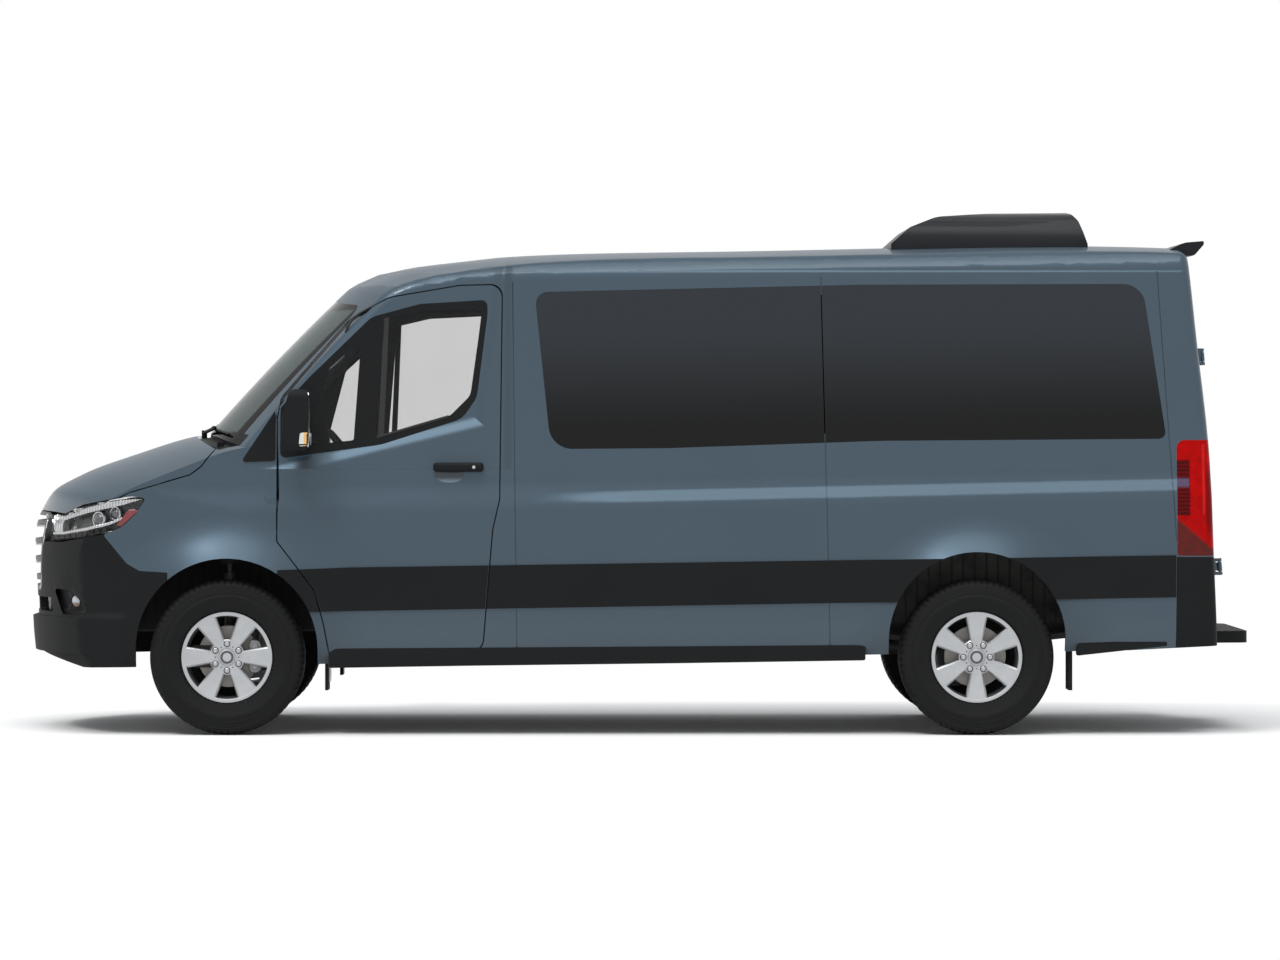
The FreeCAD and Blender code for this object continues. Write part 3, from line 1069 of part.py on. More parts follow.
def seat(x, y, width, places):
    """One seat or bench: a frame on legs, a cushion and a leaning back."""
    low, half = SEAT_TOP, width / 2
    frame = [box(x, x + 470, y - half + 20, y + half - 20, low - 30, low)]
    wall_leg = half - 90 - 160 * (places - 1)
    frame += [box(x + dx, x + dx + 60, y + dy - 20, y + dy + 20, FLOOR_TOP, low - 30)
              for dx in (40, 370) for dy in (-wall_leg, half - 90)]
    back = side_prism([(x + 470, low - 30), (x + 500, low - 30), (x + 600, low + 560), (x + 575, low + 560)],
                      y - half + 20, y + half - 20)
    frames.append(joined(*frame, back))
    step = width / places
    for i in range(places):
        middle = y - half + step * (i + 0.5)
        cushion = soft_block(x - 20, x + 462, middle - step / 2 + 4, middle + step / 2 - 4, low + SEAT_GAP,
                             low + 120)
        rest = soft_block(-110, 0, middle - step / 2 + 4, middle + step / 2 - 4, 0, 620)
        rest.rotate(ORIGIN, Y_AXIS, math.degrees(math.atan2(105, 590)))
        rest.translate(Vector(x + 470 + 105 * 158 / 590 - SEAT_GAP, 0, low + 128))
        pads.extend([cushion, rest])


for y in (-HALF + 470, HALF - 470):
    seat(720, y, SEAT_WIDTH, 1)
row_start = WHEELBASE + 450 - SEAT_PITCH * (SEAT_ROWS - 1)
for i in range(SEAT_ROWS):
    seat(row_start + SEAT_PITCH * i, -HALF + 110 + SEAT_WIDTH, 2 * SEAT_WIDTH * 0.95, 2)
add("seat_frames", *frames)
add("seat_pads", *pads)

# Move everything so that the origin lies under the middle of the length, and write the pieces
SHIFT = Vector((FRONT_OVERHANG - step_end) / 2, 0, 0)
os.makedirs("parts", exist_ok=True)
for name, shape in NODES.items():
    shape.translate(SHIFT)
    shape.exportStep("parts/" + name + ".step")
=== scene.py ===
"""Looks of the minibus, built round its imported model. Metres, X to the rear, Y to the right, Z up."""
import math

import bmesh
import bpy
import numpy as np
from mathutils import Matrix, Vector


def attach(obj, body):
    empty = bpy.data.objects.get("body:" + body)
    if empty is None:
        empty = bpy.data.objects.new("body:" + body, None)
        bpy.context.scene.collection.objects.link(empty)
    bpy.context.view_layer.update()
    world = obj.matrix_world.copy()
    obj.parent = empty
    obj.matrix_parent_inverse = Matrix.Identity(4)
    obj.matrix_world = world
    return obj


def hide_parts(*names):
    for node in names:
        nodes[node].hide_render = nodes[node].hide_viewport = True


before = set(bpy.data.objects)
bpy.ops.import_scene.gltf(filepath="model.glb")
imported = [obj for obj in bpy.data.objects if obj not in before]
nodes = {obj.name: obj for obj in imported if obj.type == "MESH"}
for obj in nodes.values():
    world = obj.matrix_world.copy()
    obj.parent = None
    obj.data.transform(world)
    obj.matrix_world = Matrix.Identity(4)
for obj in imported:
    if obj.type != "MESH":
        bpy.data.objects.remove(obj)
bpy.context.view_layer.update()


# Body panels: pressed steel in a metallic grey-blue under clear lacquer. The relief holds what is pressed into the
# sheets: the flared wheel arches, the crease along the flank, the step round the door window, the gutter line and
# the scoops behind the door handles. The insides are coloured dark grey, and road film dulls the foot of the sides.
# Faces turned upwards are coloured darker as painted shade, and have less lacquer.


class Wire:
    """An output in a node tree. Sums, products and comparisons of wires and numbers add Math nodes."""

    def __init__(self, owner, socket):
        self.owner, self.socket = owner, socket

    def maths(self, operation, *values):
        return self.owner.node("ShaderNodeMath", {"operation": operation}, values)

    def above(self, low, high):
        """0 below low, 1 above high, with a smooth step between them."""
        limits = {"Value": self, "From Min": low, "From Max": high}
        return self.owner.node("ShaderNodeMapRange", {"interpolation_type": "SMOOTHSTEP"}, limits)

    def within(self, low, high, edge=0.003):
        """1 between low and high, 0 outside, over a short edge."""
        return self.above(low - edge, low + edge) * (1.0 - self.above(high - edge, high + edge))


for word, operation in {"size": "ABSOLUTE", "sine": "SINE", "most": "MAXIMUM", "least": "MINIMUM",
                        "__add__": "ADD", "__sub__": "SUBTRACT", "__mul__": "MULTIPLY", "__truediv__": "DIVIDE",
                        "__pow__": "POWER", "__gt__": "GREATER_THAN", "__lt__": "LESS_THAN"}.items():
    setattr(Wire, word, lambda self, *others, operation=operation: self.maths(operation, self, *others))
for word, operation in {"__radd__": "ADD", "__rsub__": "SUBTRACT", "__rmul__": "MULTIPLY"}.items():
    setattr(Wire, word, lambda self, other, operation=operation: self.maths(operation, other, self))


class Nodes:
    """A node tree, in which every node comes from one method."""

    def __init__(self, tree):
        self.tree = tree

    def node(self, kind, settings=None, inputs=(), out=0):
        """A node of any type: its settings first, then values or wires for its sockets."""
        made = self.tree.nodes.new(kind)
        for key, value in (settings or {}).items():
            setattr(made, key, value)
        for key, value in inputs.items() if isinstance(inputs, dict) else enumerate(inputs):
            if isinstance(value, Wire):
                self.tree.links.new(value.socket, made.inputs[key])
            else:
                made.inputs[key].default_value = value
        return Wire(self, made.outputs[out]) if made.outputs else None


class Finish(Nodes):
    """One finish: a Principled shader that holds the constants, and the nodes that vary the rest."""

    def __init__(self, name, **constants):
        self.material = bpy.data.materials.new(name)
        self.material.use_nodes = True
        super().__init__(self.material.node_tree)
        self.shader = self.tree.nodes["Principled BSDF"]
        for socket, value in constants.items():
            self.shader.inputs[socket.replace("_", " ")].default_value = value

    def axes(self, of="Object"):
        """The x, y and z of the surface's points in metres, or of its normals."""
        place = self.node("ShaderNodeTexCoord", out=of)
        return [self.node("ShaderNodeSeparateXYZ", inputs=[place], out=i) for i in range(3)]

    def noise(self, scale, detail=4.0):
        """Cloudy noise, 0 to 1."""
        place = self.node("ShaderNodeTexCoord", out="Object")
        return self.node("ShaderNodeTexNoise", inputs={"Vector": place, "Scale": scale, "Detail": detail})

    def blend(self, share, first, second):
        """A colour between two colours."""
        first, second = [(*c, 1) if isinstance(c, tuple) else c for c in (first, second)]
        return self.node("ShaderNodeMix", {"data_type": "RGBA"}, {0: share, 6: first, 7: second}, out=2)

    def bump(self, height, depth=1.0, strength=1.0):
        """A relief from a height, which the depth turns into metres."""
        return self.node("ShaderNodeBump", inputs={"Height": height, "Distance": depth, "Strength": strength})

    def feed(self, **wires):
        """Lead wires into the shader's sockets."""
        for socket, wire in wires.items():
            self.tree.links.new(wire.socket, self.shader.inputs[socket.replace("_", " ")])
        return self

    def cloudy(self, scale, first, second, detail=4.0, rough=None, relief=None):
        """Clouds of two tones, and where asked roughness (level, scale, spread), relief (scale, depth, strength)."""
        wires = {"Base_Color": self.blend(self.noise(scale, detail), first, second)}
        if rough:
            wires["Roughness"] = rough[0] + self.noise(rough[1]) * rough[2]
        if relief:
            wires["Normal"] = self.bump(self.noise(relief[0]), *relief[1:])
        return self.feed(**wires)


def smooth_group(limit):
    """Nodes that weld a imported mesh's loose triangles and shade it smooth where it turns by less than the limit."""
    group = bpy.data.node_groups.new("weld_and_smooth", "GeometryNodeTree")
    for way in ("INPUT", "OUTPUT"):
        group.interface.new_socket("Geometry", in_out=way, socket_type="NodeSocketGeometry")
    steps = Nodes(group)
    start = steps.node("NodeGroupInput")
    weld = steps.node("GeometryNodeMergeByDistance", inputs={"Geometry": start, "Distance": 2e-6})
    turn = steps.node("GeometryNodeInputMeshEdgeAngle", out="Unsigned Angle")
    gentle = steps.node("FunctionNodeCompare", {"operation": "LESS_EQUAL"}, [turn, math.radians(limit)])
    faces = steps.node("GeometryNodeSetShadeSmooth", inputs={"Geometry": weld})
    edges = steps.node("GeometryNodeSetShadeSmooth", {"domain": "EDGE"}, {"Geometry": faces, "Shade Smooth": gentle})
    steps.node("NodeGroupOutput", inputs=[edges])
    return group


SMOOTH, ROUNDED = smooth_group(28), smooth_group(62)


def dress(finish, *names, shading=SMOOTH):
    """Gives CAD nodes a finish and smooth shading, in which large faces count for more than slivers."""
    for name in names:
        piece = nodes[name]
        piece.data.materials.clear()
        piece.data.materials.append(finish.material)
        piece.modifiers.new("smooth", "NODES").node_group = shading
        even = piece.modifiers.new("even", "WEIGHTED_NORMAL")
        even.mode, even.weight, even.keep_sharp = "FACE_AREA", 60, True


FRONT_AXLE, REAR_AXLE, AXLE_HEIGHT = -2.003, 1.662, 0.38
paint = Finish("body_paint", Coat_Roughness=0.04, Coat_IOR=1.36, Specular_IOR_Level=0.1)
px, py, pz = paint.axes()
_, ny, nz = paint.axes("Normal")
outwards = ny * (py / py.size().most(0.001))
inside = ((outwards < -0.35) + ((nz < -0.4) * (pz > 1.9))).above(0.4, 0.6)
road_film = (1.0 - pz.above(0.35, 0.75)) * (0.4 + paint.noise(5.0, 5.0) * 0.6)
# Painted shade: faces turned upwards are coloured darker, and get less lacquer and more roughness.
faces_up_painted_shade = nz.above(0.25, 0.75)
tone = paint.blend(paint.noise(1.6, 3.0), (0.046, 0.074, 0.100), (0.053, 0.083, 0.110))
for share, colour in ((road_film * 0.16, (0.13, 0.13, 0.125)), (inside, (0.035, 0.036, 0.037)),
                      (faces_up_painted_shade * 0.12, (0.03, 0.045, 0.06))):
    tone = paint.blend(share, tone, colour)


def arch_flare(axle):
    """The sheet's height round a wheel: it starts 0.70 m from the axle and grows towards the opening."""
    away = ((px - axle) * (px - axle) + (pz - AXLE_HEIGHT) * (pz - AXLE_HEIGHT)) ** 0.5
    return ((0.70 - away) / 0.16).most(0.0) ** 1.6 * 0.060


below_crease = (px * 0.022 + 1.199 - pz).above(-0.002, 0.066) * 0.022 * px.above(-0.62, 0.1)
under_glass = ((px + 0.913) * 0.245 + 1.56 - pz) * 0.97
behind_glass = (px + 0.813 - (pz - 1.66) * 0.137) * 0.99
glass_step = under_glass.most(behind_glass).above(0.022, 0.098) * 0.026
glass_step = glass_step * ((pz - 1.3) > 0.0) * (1.0 - px.above(-0.66, -0.60))
gutter_line = (2.268 - pz).above(-0.007, 0.007) * 0.004
scoop = (((px + 0.915) / 0.078) ** 2.0 + ((pz - 1.281) / 0.046) ** 2.0).above(0.35, 1.05) * 0.012
relief = arch_flare(FRONT_AXLE) + arch_flare(REAR_AXLE) + below_crease + glass_step + gutter_line + scoop
paint.feed(Base_Color=tone, Roughness=0.34 + road_film * 0.2 + inside * 0.4 + faces_up_painted_shade * 0.25,
           Metallic=0.4 * (1.0 - inside), Coat_Weight=0.9 * (1.0 - inside) * (1.0 - faces_up_painted_shade * 0.72),
           Normal=paint.bump(relief + paint.noise(900.0, 2.0) * 0.000008))
dress(paint, "roof", "hood", "front_wings", "side_left", "side_right", "sliding_door", "door_left", "door_right",
      "rear_door_left", "rear_door_right")

# Unpainted mouldings: dark grey grained plastic on the bumpers, flank bands, mirror housings and cowl. Wear leaves
# paler clouds on it, and two ledges are pressed along the front bumper's side.
plastic = Finish("black_moulding", Specular_IOR_Level=0.08)
worn = plastic.noise(3.0)
qx, _, qz = plastic.axes()
ledges = (1.0 - qz.above(0.560, 0.604)) * (1.0 - qx.above(-2.56, -2.44)) * 0.016
ledges = ledges + (1.0 - qz.above(0.760, 0.792)) * (1.0 - qx.above(-2.86, -2.74)) * 0.010
plastic.feed(Base_Color=plastic.blend(worn, (0.0095, 0.0100, 0.0106), (0.0135, 0.0141, 0.0147)),
             Roughness=0.5 + worn * 0.18, Normal=plastic.bump(ledges + plastic.noise(1400.0, 3.0) * 0.00007))
dress(plastic, "front_bumper", "rear_bumper", "door_left_trim", "door_right_trim", shading=ROUNDED)
dress(plastic, "black_trim", "cowl")

# Roof unit and rear roof lip: moulded shells in near-black with a soft gloss. The unit sits over the rear half of
# the roof, and the lip is bonded along the roof's rear edge.
shell_gloss = Finish("gloss_shell", Roughness=0.42, Coat_Weight=0.08, Coat_Roughness=0.1, Specular_IOR_Level=0.1)
shell_gloss.cloudy(2.0, (0.0105, 0.012, 0.0145), (0.015, 0.017, 0.020), relief=(500.0, 0.00003, 0.4))
dress(shell_gloss, "roof_unit", "roof_lip", shading=ROUNDED)

# Windscreen: laminated glass, bonded in all round. A black rim is baked on to hide the bond, broadest along the foot,
# and the rest is clear with a green-grey tint.
screen = Finish("windscreen_glass", IOR=1.12, Specular_IOR_Level=0.2)
_, sy, sz = screen.axes()
rim_share = (1.0 - sz.above(1.475, 1.49)).most(sz.above(2.075, 2.09)).most(sy.size().above(0.73, 0.745))
screen.feed(Base_Color=screen.blend(rim_share, (0.085, 0.105, 0.105), (0.006, 0.006, 0.0065)),
            Roughness=0.015 + screen.noise(7.0) * 0.02, Alpha=0.78 + rim_share * 0.22)
dress(screen, "windscreen")

# Door glass: toughened panes with a slight tint, which run in rubber channels in the front doors. They are nearly
# clear, so that the cabin shows behind them.
clear = Finish("door_glass", Roughness=0.02, IOR=1.5)
clear.feed(Base_Color=clear.blend(clear.noise(3.0), (0.03, 0.032, 0.034), (0.045, 0.047, 0.05)),
           Alpha=0.12 + clear.noise(2.0) * 0.03)
dress(clear, "door_left_glass", "door_right_glass")

# Passenger windows: privacy glass, bonded to the sheet over a black baked rim. Its colour is a painted reflection and
# painted shade: nearly black at the foot, turning paler and bluer towards the roof.
privacy = Finish("privacy_glass", IOR=1.5, Specular_IOR_Level=0.22)
gx, _, gz = privacy.axes()
# Painted reflection and shade: the tint grows paler and bluer with height.
painted_reflection_share = (gz - gx * 0.017).above(1.45, 2.05)
privacy.feed(Base_Color=privacy.blend(painted_reflection_share, (0.0020, 0.0022, 0.0024), (0.0220, 0.0262, 0.0320)),
             Roughness=0.02 + privacy.noise(5.0) * 0.03)
dress(privacy, "side_glass", "rear_door_left_glass", "rear_door_right_glass")

# Tyres: moulded rubber. One closed profile is carried round the axle: a bulged sidewall with raised rings, four
# grooves round the tread, and blocks cut into its shoulders.


def xyz(*coordinates):
    """Points from their coordinates, each spread over the same grid."""
    return np.stack(np.broadcast_arrays(*coordinates), -1)


def turned(profile, count=128, centre=(0, 0, 0), side=-1, blocks=None):
    """A profile (offset, radius) in mm round the wheel's axis: x = radius cos, z = radius sin, y = side * offset.

    blocks lowers the radius by a depth at each angle, as a function of the angle and the offset."""
    offset, radius = np.array(profile, float).T / 1000
    angle = np.linspace(0, 2 * math.pi, count, endpoint=False)
    radius = radius[:, None] - (blocks(angle[None, :], offset[:, None]) if blocks else 0)
    return xyz(radius * np.cos(angle), offset[:, None] * side, radius * np.sin(angle)) + np.array(centre)


def make(name, grids, finish, body, slot=None, wrap=(False, True), solid=True, smooth=40):
    """A piece from grids of points: four neighbours make a face, and a wrapped side joins its ends.

    Doubled points are merged, so that poles and seams close, and the faces of closed shapes are turned outwards."""
    points, faces, first = [], [], 0
    for grid in grids if isinstance(grids, list) else [grids]:
        rows, cols = grid.shape[:2]
        i = np.arange(rows if wrap[0] else rows - 1)[:, None]
        j = np.arange(cols if wrap[1] else cols - 1)[None, :]
        i2, j2 = (i + 1) % rows, (j + 1) % cols
        corners = [i * cols + j, i2 * cols + j, i2 * cols + j2, i * cols + j2]
        faces.append(np.stack(corners, -1).reshape(-1, 4) + first)
        points.append(grid.reshape(-1, 3))
        first += rows * cols
    mesh = bpy.data.meshes.new(name)
    mesh.from_pydata(np.concatenate(points).tolist(), [], np.concatenate(faces).tolist())
    shape = bmesh.new()
    shape.from_mesh(mesh)
    bmesh.ops.remove_doubles(shape, verts=shape.verts, dist=2e-5)
    if solid:
        bmesh.ops.recalc_face_normals(shape, faces=shape.faces)
    shape.to_mesh(mesh)
    shape.free()
    mesh.shade_smooth()
    mesh.set_sharp_from_angle(angle=math.radians(smooth))
    mesh.materials.append(finish.material)
    piece = bpy.data.objects.new(name, mesh)
    bpy.context.scene.collection.objects.link(piece)
    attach(piece, body)
    return piece


def tread_blocks(angle, offset):
    """Cuts 6 mm deep across the shoulders, 72 to the turn, and shallow ones on the middle ribs."""
    out, wave = np.abs(offset), np.sin(72 * angle)
    shoulder = (out > 0.074) & (out < 0.112)
    return 0.006 * (shoulder & (wave > 0.55)) + 0.003 * ((out < 0.06) & (wave > 0.8))


rubber = Finish("tyre_rubber", Specular_IOR_Level=0.16)
dust = rubber.noise(12.0, 5.0)
rubber.feed(Base_Color=rubber.blend(dust, (0.0035, 0.0038, 0.0042), (0.0095, 0.0098, 0.0102)),
            Roughness=0.52 + dust * 0.25, Normal=rubber.bump(rubber.noise(700.0), 0.0002, 0.4))
wall_half = [(-86, 214.5), (-89.5, 218.5), (-92, 226), (-98.5, 233), (-104.5, 234.5), (-105.5, 238),
             (-107.5, 246), (-113, 262), (-117.5, 279), (-118.5, 281.5), (-119.6, 284), (-119.8, 299),
             (-118.2, 301.5), (-117.6, 315), (-119, 316.5), (-118.6, 319.5), (-116.5, 322), (-115, 336),
             (-112.5, 346), (-113.5, 348.5), (-110.5, 357), (-100, 369.5), (-91, 374.5), (-78, 376.8),
             (-73.5, 377.2), (-72.5, 369.5), (-64.5, 369.5), (-63.5, 378), (-50, 379), (-31.5, 379.5),
             (-30.5, 371.5), (-21.5, 371.5), (-20.5, 379.8), (-6, 380)]
CLEARANCE, WHEEL_MIDDLE = 0.9995, 0.856
tyre_profile = [(y, r * CLEARANCE) for y, r in wall_half + [(-y, r) for y, r in wall_half[::-1]]]
WHEELS = {"front_left": (FRONT_AXLE, -1, -30), "front_right": (FRONT_AXLE, 1, -30),
          "rear_left": (REAR_AXLE, -1, 0), "rear_right": (REAR_AXLE, 1, 0)}
for place, (axle, side, _) in WHEELS.items():
    ring = turned(tyre_profile, 288, (axle, side * WHEEL_MIDDLE, AXLE_HEIGHT), -side, tread_blocks)
    tyre = make(f"tread_and_wall_{place}", ring, rubber, f"wheel_{place}", "tyre", wrap=(True, True), smooth=32)
    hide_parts(f"tyre_{place}")

# Wheels: one-piece cast alloy with six broad spokes that widen towards the flange. The faces are machined bright,
# and the well behind them is coloured dark as painted shade, for the shadow inside the barrel. Behind each stands its
# brake disc.


def round_wheel(points, axle, side, degrees):
    """Points made upright on the left wheel's face (x rear, y minus outwards, z up), turned and put on an axle."""
    angle = math.radians(degrees)
    x, y, z = np.moveaxis(points, -1, 0)
    turned_x, turned_z = x * math.cos(angle) + z * math.sin(angle), z * math.cos(angle) - x * math.sin(angle)
    return xyz(turned_x + axle, (y - WHEEL_MIDDLE) * -side, turned_z + AXLE_HEIGHT)


def spoke():
    """Stations along the radius; each section is a flat face 30 to 50 mm to a side with sloping shoulders."""
    station = np.array([0.05, 0.05, 0.062, 0.08, 0.1, 0.13, 0.16, 0.185, 0.2, 0.207, 0.207])
    half = np.interp(station, [0.05, 0.08, 0.1, 0.205], [0.024, 0.027, 0.030, 0.049])
    front = np.interp(station, [0.05, 0.08, 0.15, 0.2, 0.207], [-0.077, -0.079, -0.085, -0.0925, -0.0935])
    across = np.array([-1, -1, -0.93, -0.9, -0.55, 0, 0.55, 0.9, 0.93, 1, 1, 0])
    wider = np.array([0.006, 0.003, 0, 0, 0, 0, 0, 0, 0, 0.003, 0.006, 0])
    depth = np.array([0.034, 0.006, 0.0012, 0, 0, 0.0008, 0, 0, 0.0012, 0.006, 0.034, 0.036])
    x = half[:, None] * across + np.sign(across) * wider
    grid = xyz(x, front[:, None] + depth, station[:, None])
    grid[0], grid[-1] = grid[1].mean(0), grid[-2].mean(0)
    return grid


def plate(outline, layers):
    """An outline in a plane, drawn together and lifted layer by layer: a closed form between two poles."""
    outline = np.array(outline, float)
    middle = (outline.max(0) + outline.min(0)) / 2
    share, height = np.array(layers, float).T
    flat = middle + (outline - middle) * share[:, None, None]
    return xyz(flat[..., 0], flat[..., 1], height[:, None])


def circle(radius, count=32, x=0.0, y=0.0):
    """Points round a circle."""
    angle = np.linspace(0, 2 * math.pi, count, endpoint=False)
    return xyz(x + radius * np.cos(angle), y + radius * np.sin(angle))


def on_face(grid):
    """A plate's plane becomes the wheel's face: its height points outwards."""
    return xyz(grid[..., 0], -grid[..., 2], grid[..., 1])


machined = Finish("machined_alloy", Metallic=0.75, Specular_IOR_Level=0.5)
cast = machined.noise(22.0, 5.0)
mx, _, mz = machined.axes()
to_front, to_rear = ((mx - axle) ** 2.0 + (mz - AXLE_HEIGHT) ** 2.0 for axle in (FRONT_AXLE, REAR_AXLE))
cap_ring = to_front.least(to_rear).within(0.00045, 0.00105, 0.00006)
bare_tone = machined.blend(cast, (0.40, 0.412, 0.425), (0.50, 0.513, 0.527))
machined.feed(Base_Color=machined.blend(cap_ring * 0.9, bare_tone, (0.05, 0.052, 0.055)),
              Roughness=0.34 + cast * 0.12,
              Normal=machined.bump(machined.noise(240.0, 3.0), 0.00006, 0.5))
# Painted shade: the well is coloured dark for the shadow that falls inside the barrel.
well = Finish("wheel_well_painted_shade", Metallic=0.4, Roughness=0.5)
well.cloudy(15.0, (0.055, 0.057, 0.06), (0.085, 0.087, 0.09))
# Near black: the lamp's dark teeth, and painted shade in recesses and holes, at the nut seats, the dots on the hub
# and the fog lamp pockets.
black_and_hole_shade = Finish("black_and_painted_recess_shade", Roughness=0.8).cloudy(30.0, (0.006, 0.006, 0.006), (0.012, 0.012, 0.012))
disc_iron = Finish("brake_disc_iron", Metallic=0.55)
disc_iron.cloudy(9.0, (0.42, 0.40, 0.37), (0.52, 0.50, 0.47), rough=(0.4, 60.0, 0.2))
flange_profile = [(90.5, 222.5), (94.5, 221.5), (95, 218.5), (94.2, 209), (92.5, 204.5), (86, 202.5),
                  (84, 206.5), (84, 214.5), (87, 215.5), (88, 221.5)]
well_profile = [(84.2, 214.5), (86.2, 202.7), (70, 200), (30, 195.5), (-30, 194.5), (-70, 198.5),
                (-92, 206), (-95, 221.5), (-88, 221.5), (-84, 213.5), (-40, 203.5), (30, 203.5), (75, 209.5)]
hub_profile = [(0, 0), (0, 88), (66, 88), (73.5, 86.5), (76.5, 82.5), (77.8, 60),
               (77.8, 46), (75.5, 44.5), (75.5, 40.5), (81, 37.5), (83, 33), (84, 20), (84.5, 0)]
nut_profile = [(0, 0), (1.28, 0), (1.3, 0.004), (1.12, 0.0055), (1.0, 0.006), (1.0, 0.016), (0.84, 0.0185),
               (0, 0.0195)]
disc_profile = [(-60, 50), (-60, 150), (-50, 151), (-48, 146), (-46, 146), (-44, 151),
                (-34, 150), (-34, 88), (-12, 85), (-8, 78), (-8, 50)]
NUT_CIRCLE, NUT_SEAT = 0.0655, -0.0765
nut = on_face(plate(circle(0.0105, 6), nut_profile)) + (0, NUT_SEAT, NUT_CIRCLE)
seat_ring = on_face(plate(circle(0.0165, 28), [(0, 0), (1, 0), (1, 0.0032), (0.9, 0.0036), (0, 0.0036)]))
dot = on_face(plate(circle(0.0036, 14), [(0, 0), (1, 0), (0.8, 0.0022), (0, 0.0022)]))
for place, (axle, side, turn) in WHEELS.items():
    body = f"wheel_{place}"
    six = [turn + 60 * k for k in range(6)]
    faces = [round_wheel(spoke(), axle, side, a) for a in six]
    faces.append(round_wheel(turned(hub_profile, 96), axle, side, 0))
    faces += [round_wheel(nut, axle, side, a + 30) for a in six]
    make(f"spokes_{place}", faces, machined, body, "alloy", smooth=30)
    make(f"flange_{place}", round_wheel(turned(flange_profile, 160), axle, side, 0), machined, body, "alloy",
         wrap=(True, True), smooth=50)
    wheel_well = make(f"wheel_well_{place}", round_wheel(turned(well_profile), axle, side, 0), well, body, "alloy",
                      wrap=(True, True))
    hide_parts(f"rim_{place}")
    # Painted shade: dark rings round the nuts' seats and dark dots on the hub stand for the shade in their holes.
    marks = [round_wheel(seat_ring + (0, NUT_SEAT + 0.0015, NUT_CIRCLE), axle, side, a + 30) for a in six]
    marks += [round_wheel(dot + (0, NUT_SEAT, 0.0565), axle, side, a) for a in six]
    make(f"wheel_hole_shade_{place}", marks, black_and_hole_shade, body, "black_plastic")
    make(f"brake_disc_{place}", round_wheel(turned(disc_profile), axle, side, 0), disc_iron, body, "cast_metal",
         wrap=(True, True))

# Brake calipers: cast bridges over the rear edge of each front disc, bolted to the knuckles, with two pistons each.
# The knuckles and the engine block are rougher, darker castings.


def rounded(corners, radius, steps=6):
    """A closed outline whose corners are rounded by parabolas; radius is how far each reaches along its sides."""
    corner = np.array(corners, float)
    back, ahead = np.roll(corner, 1, 0) - corner, np.roll(corner, -1, 0) - corner
    start, end = (corner + run * np.minimum(radius / np.linalg.norm(run, axis=1), 0.46)[:, None]
                  for run in (back, ahead))
    t = np.linspace(0, 1, steps)[None, :, None]
    curve = (1 - t) ** 2 * start[:, None] + 2 * t * (1 - t) * corner[:, None] + t ** 2 * end[:, None]
    return curve.reshape(-1, 2)


iron = Finish("cast_iron", Metallic=0.5)
iron.cloudy(18.0, (0.05, 0.05, 0.052), (0.12, 0.11, 0.1), detail=6.0, rough=(0.5, 7.0, 0.2),
            relief=(260.0, 0.0006, 0.5))
dress(iron, "knuckle_left", "knuckle_right", "engine")
caliper_cast = Finish("caliper_cast", Metallic=0.4)
caliper_cast.cloudy(25.0, (0.30, 0.30, 0.30), (0.48, 0.48, 0.47), detail=5.0, rough=(0.42, 60.0, 0.2),
                    relief=(150.0, 0.0005, 0.6))
for side, knuckle in ((-1, "knuckle_left"), (1, "knuckle_right")):
    blocks = []
    for height, length, lift in ((0.052, 0.036, 0.0036), (-0.048, 0.036, 0.0036), (0.0, 0.052, 0.0)):
        outline = rounded([(0.112, -length), (0.158, -length * 0.8), (0.168, 0), (0.158, length * 0.8),
                           (0.112, length), (0.1, 0)], 0.016)
        block = plate(outline, [(0, -0.03), (0.92, -0.03), (1, -0.026), (1, 0.018), (0.86, 0.026 + lift),
                                (0, 0.03 + lift)])
        blocks.append(round_wheel(on_face(block) + (0, 0, height), FRONT_AXLE, side, 0))
    for height in (0.05, -0.05):
        piston = plate(circle(0.021, 28, 0.132, height), [(0, 0.02), (1, 0.02), (1, 0.038), (0.7, 0.041),
                                                          (0.62, 0.036), (0, 0.036)])
        blocks.append(round_wheel(on_face(piston), FRONT_AXLE, side, 0))
    make(f"caliper_{knuckle}", blocks, caliper_cast, knuckle, "cast_metal")

# Headlamps: a clear moulded cover on a housing. Behind it lie a dark bowl, a bright reflector under the upper rim,
# two round projector units, a light strip with a row of dark teeth under it, and a red side marker.


def points_of(mesh):
    """A mesh's points as one array."""
    spots = np.zeros(len(mesh.vertices) * 3)
    mesh.vertices.foreach_get("co", spots)
    return spots.reshape(-1, 3)


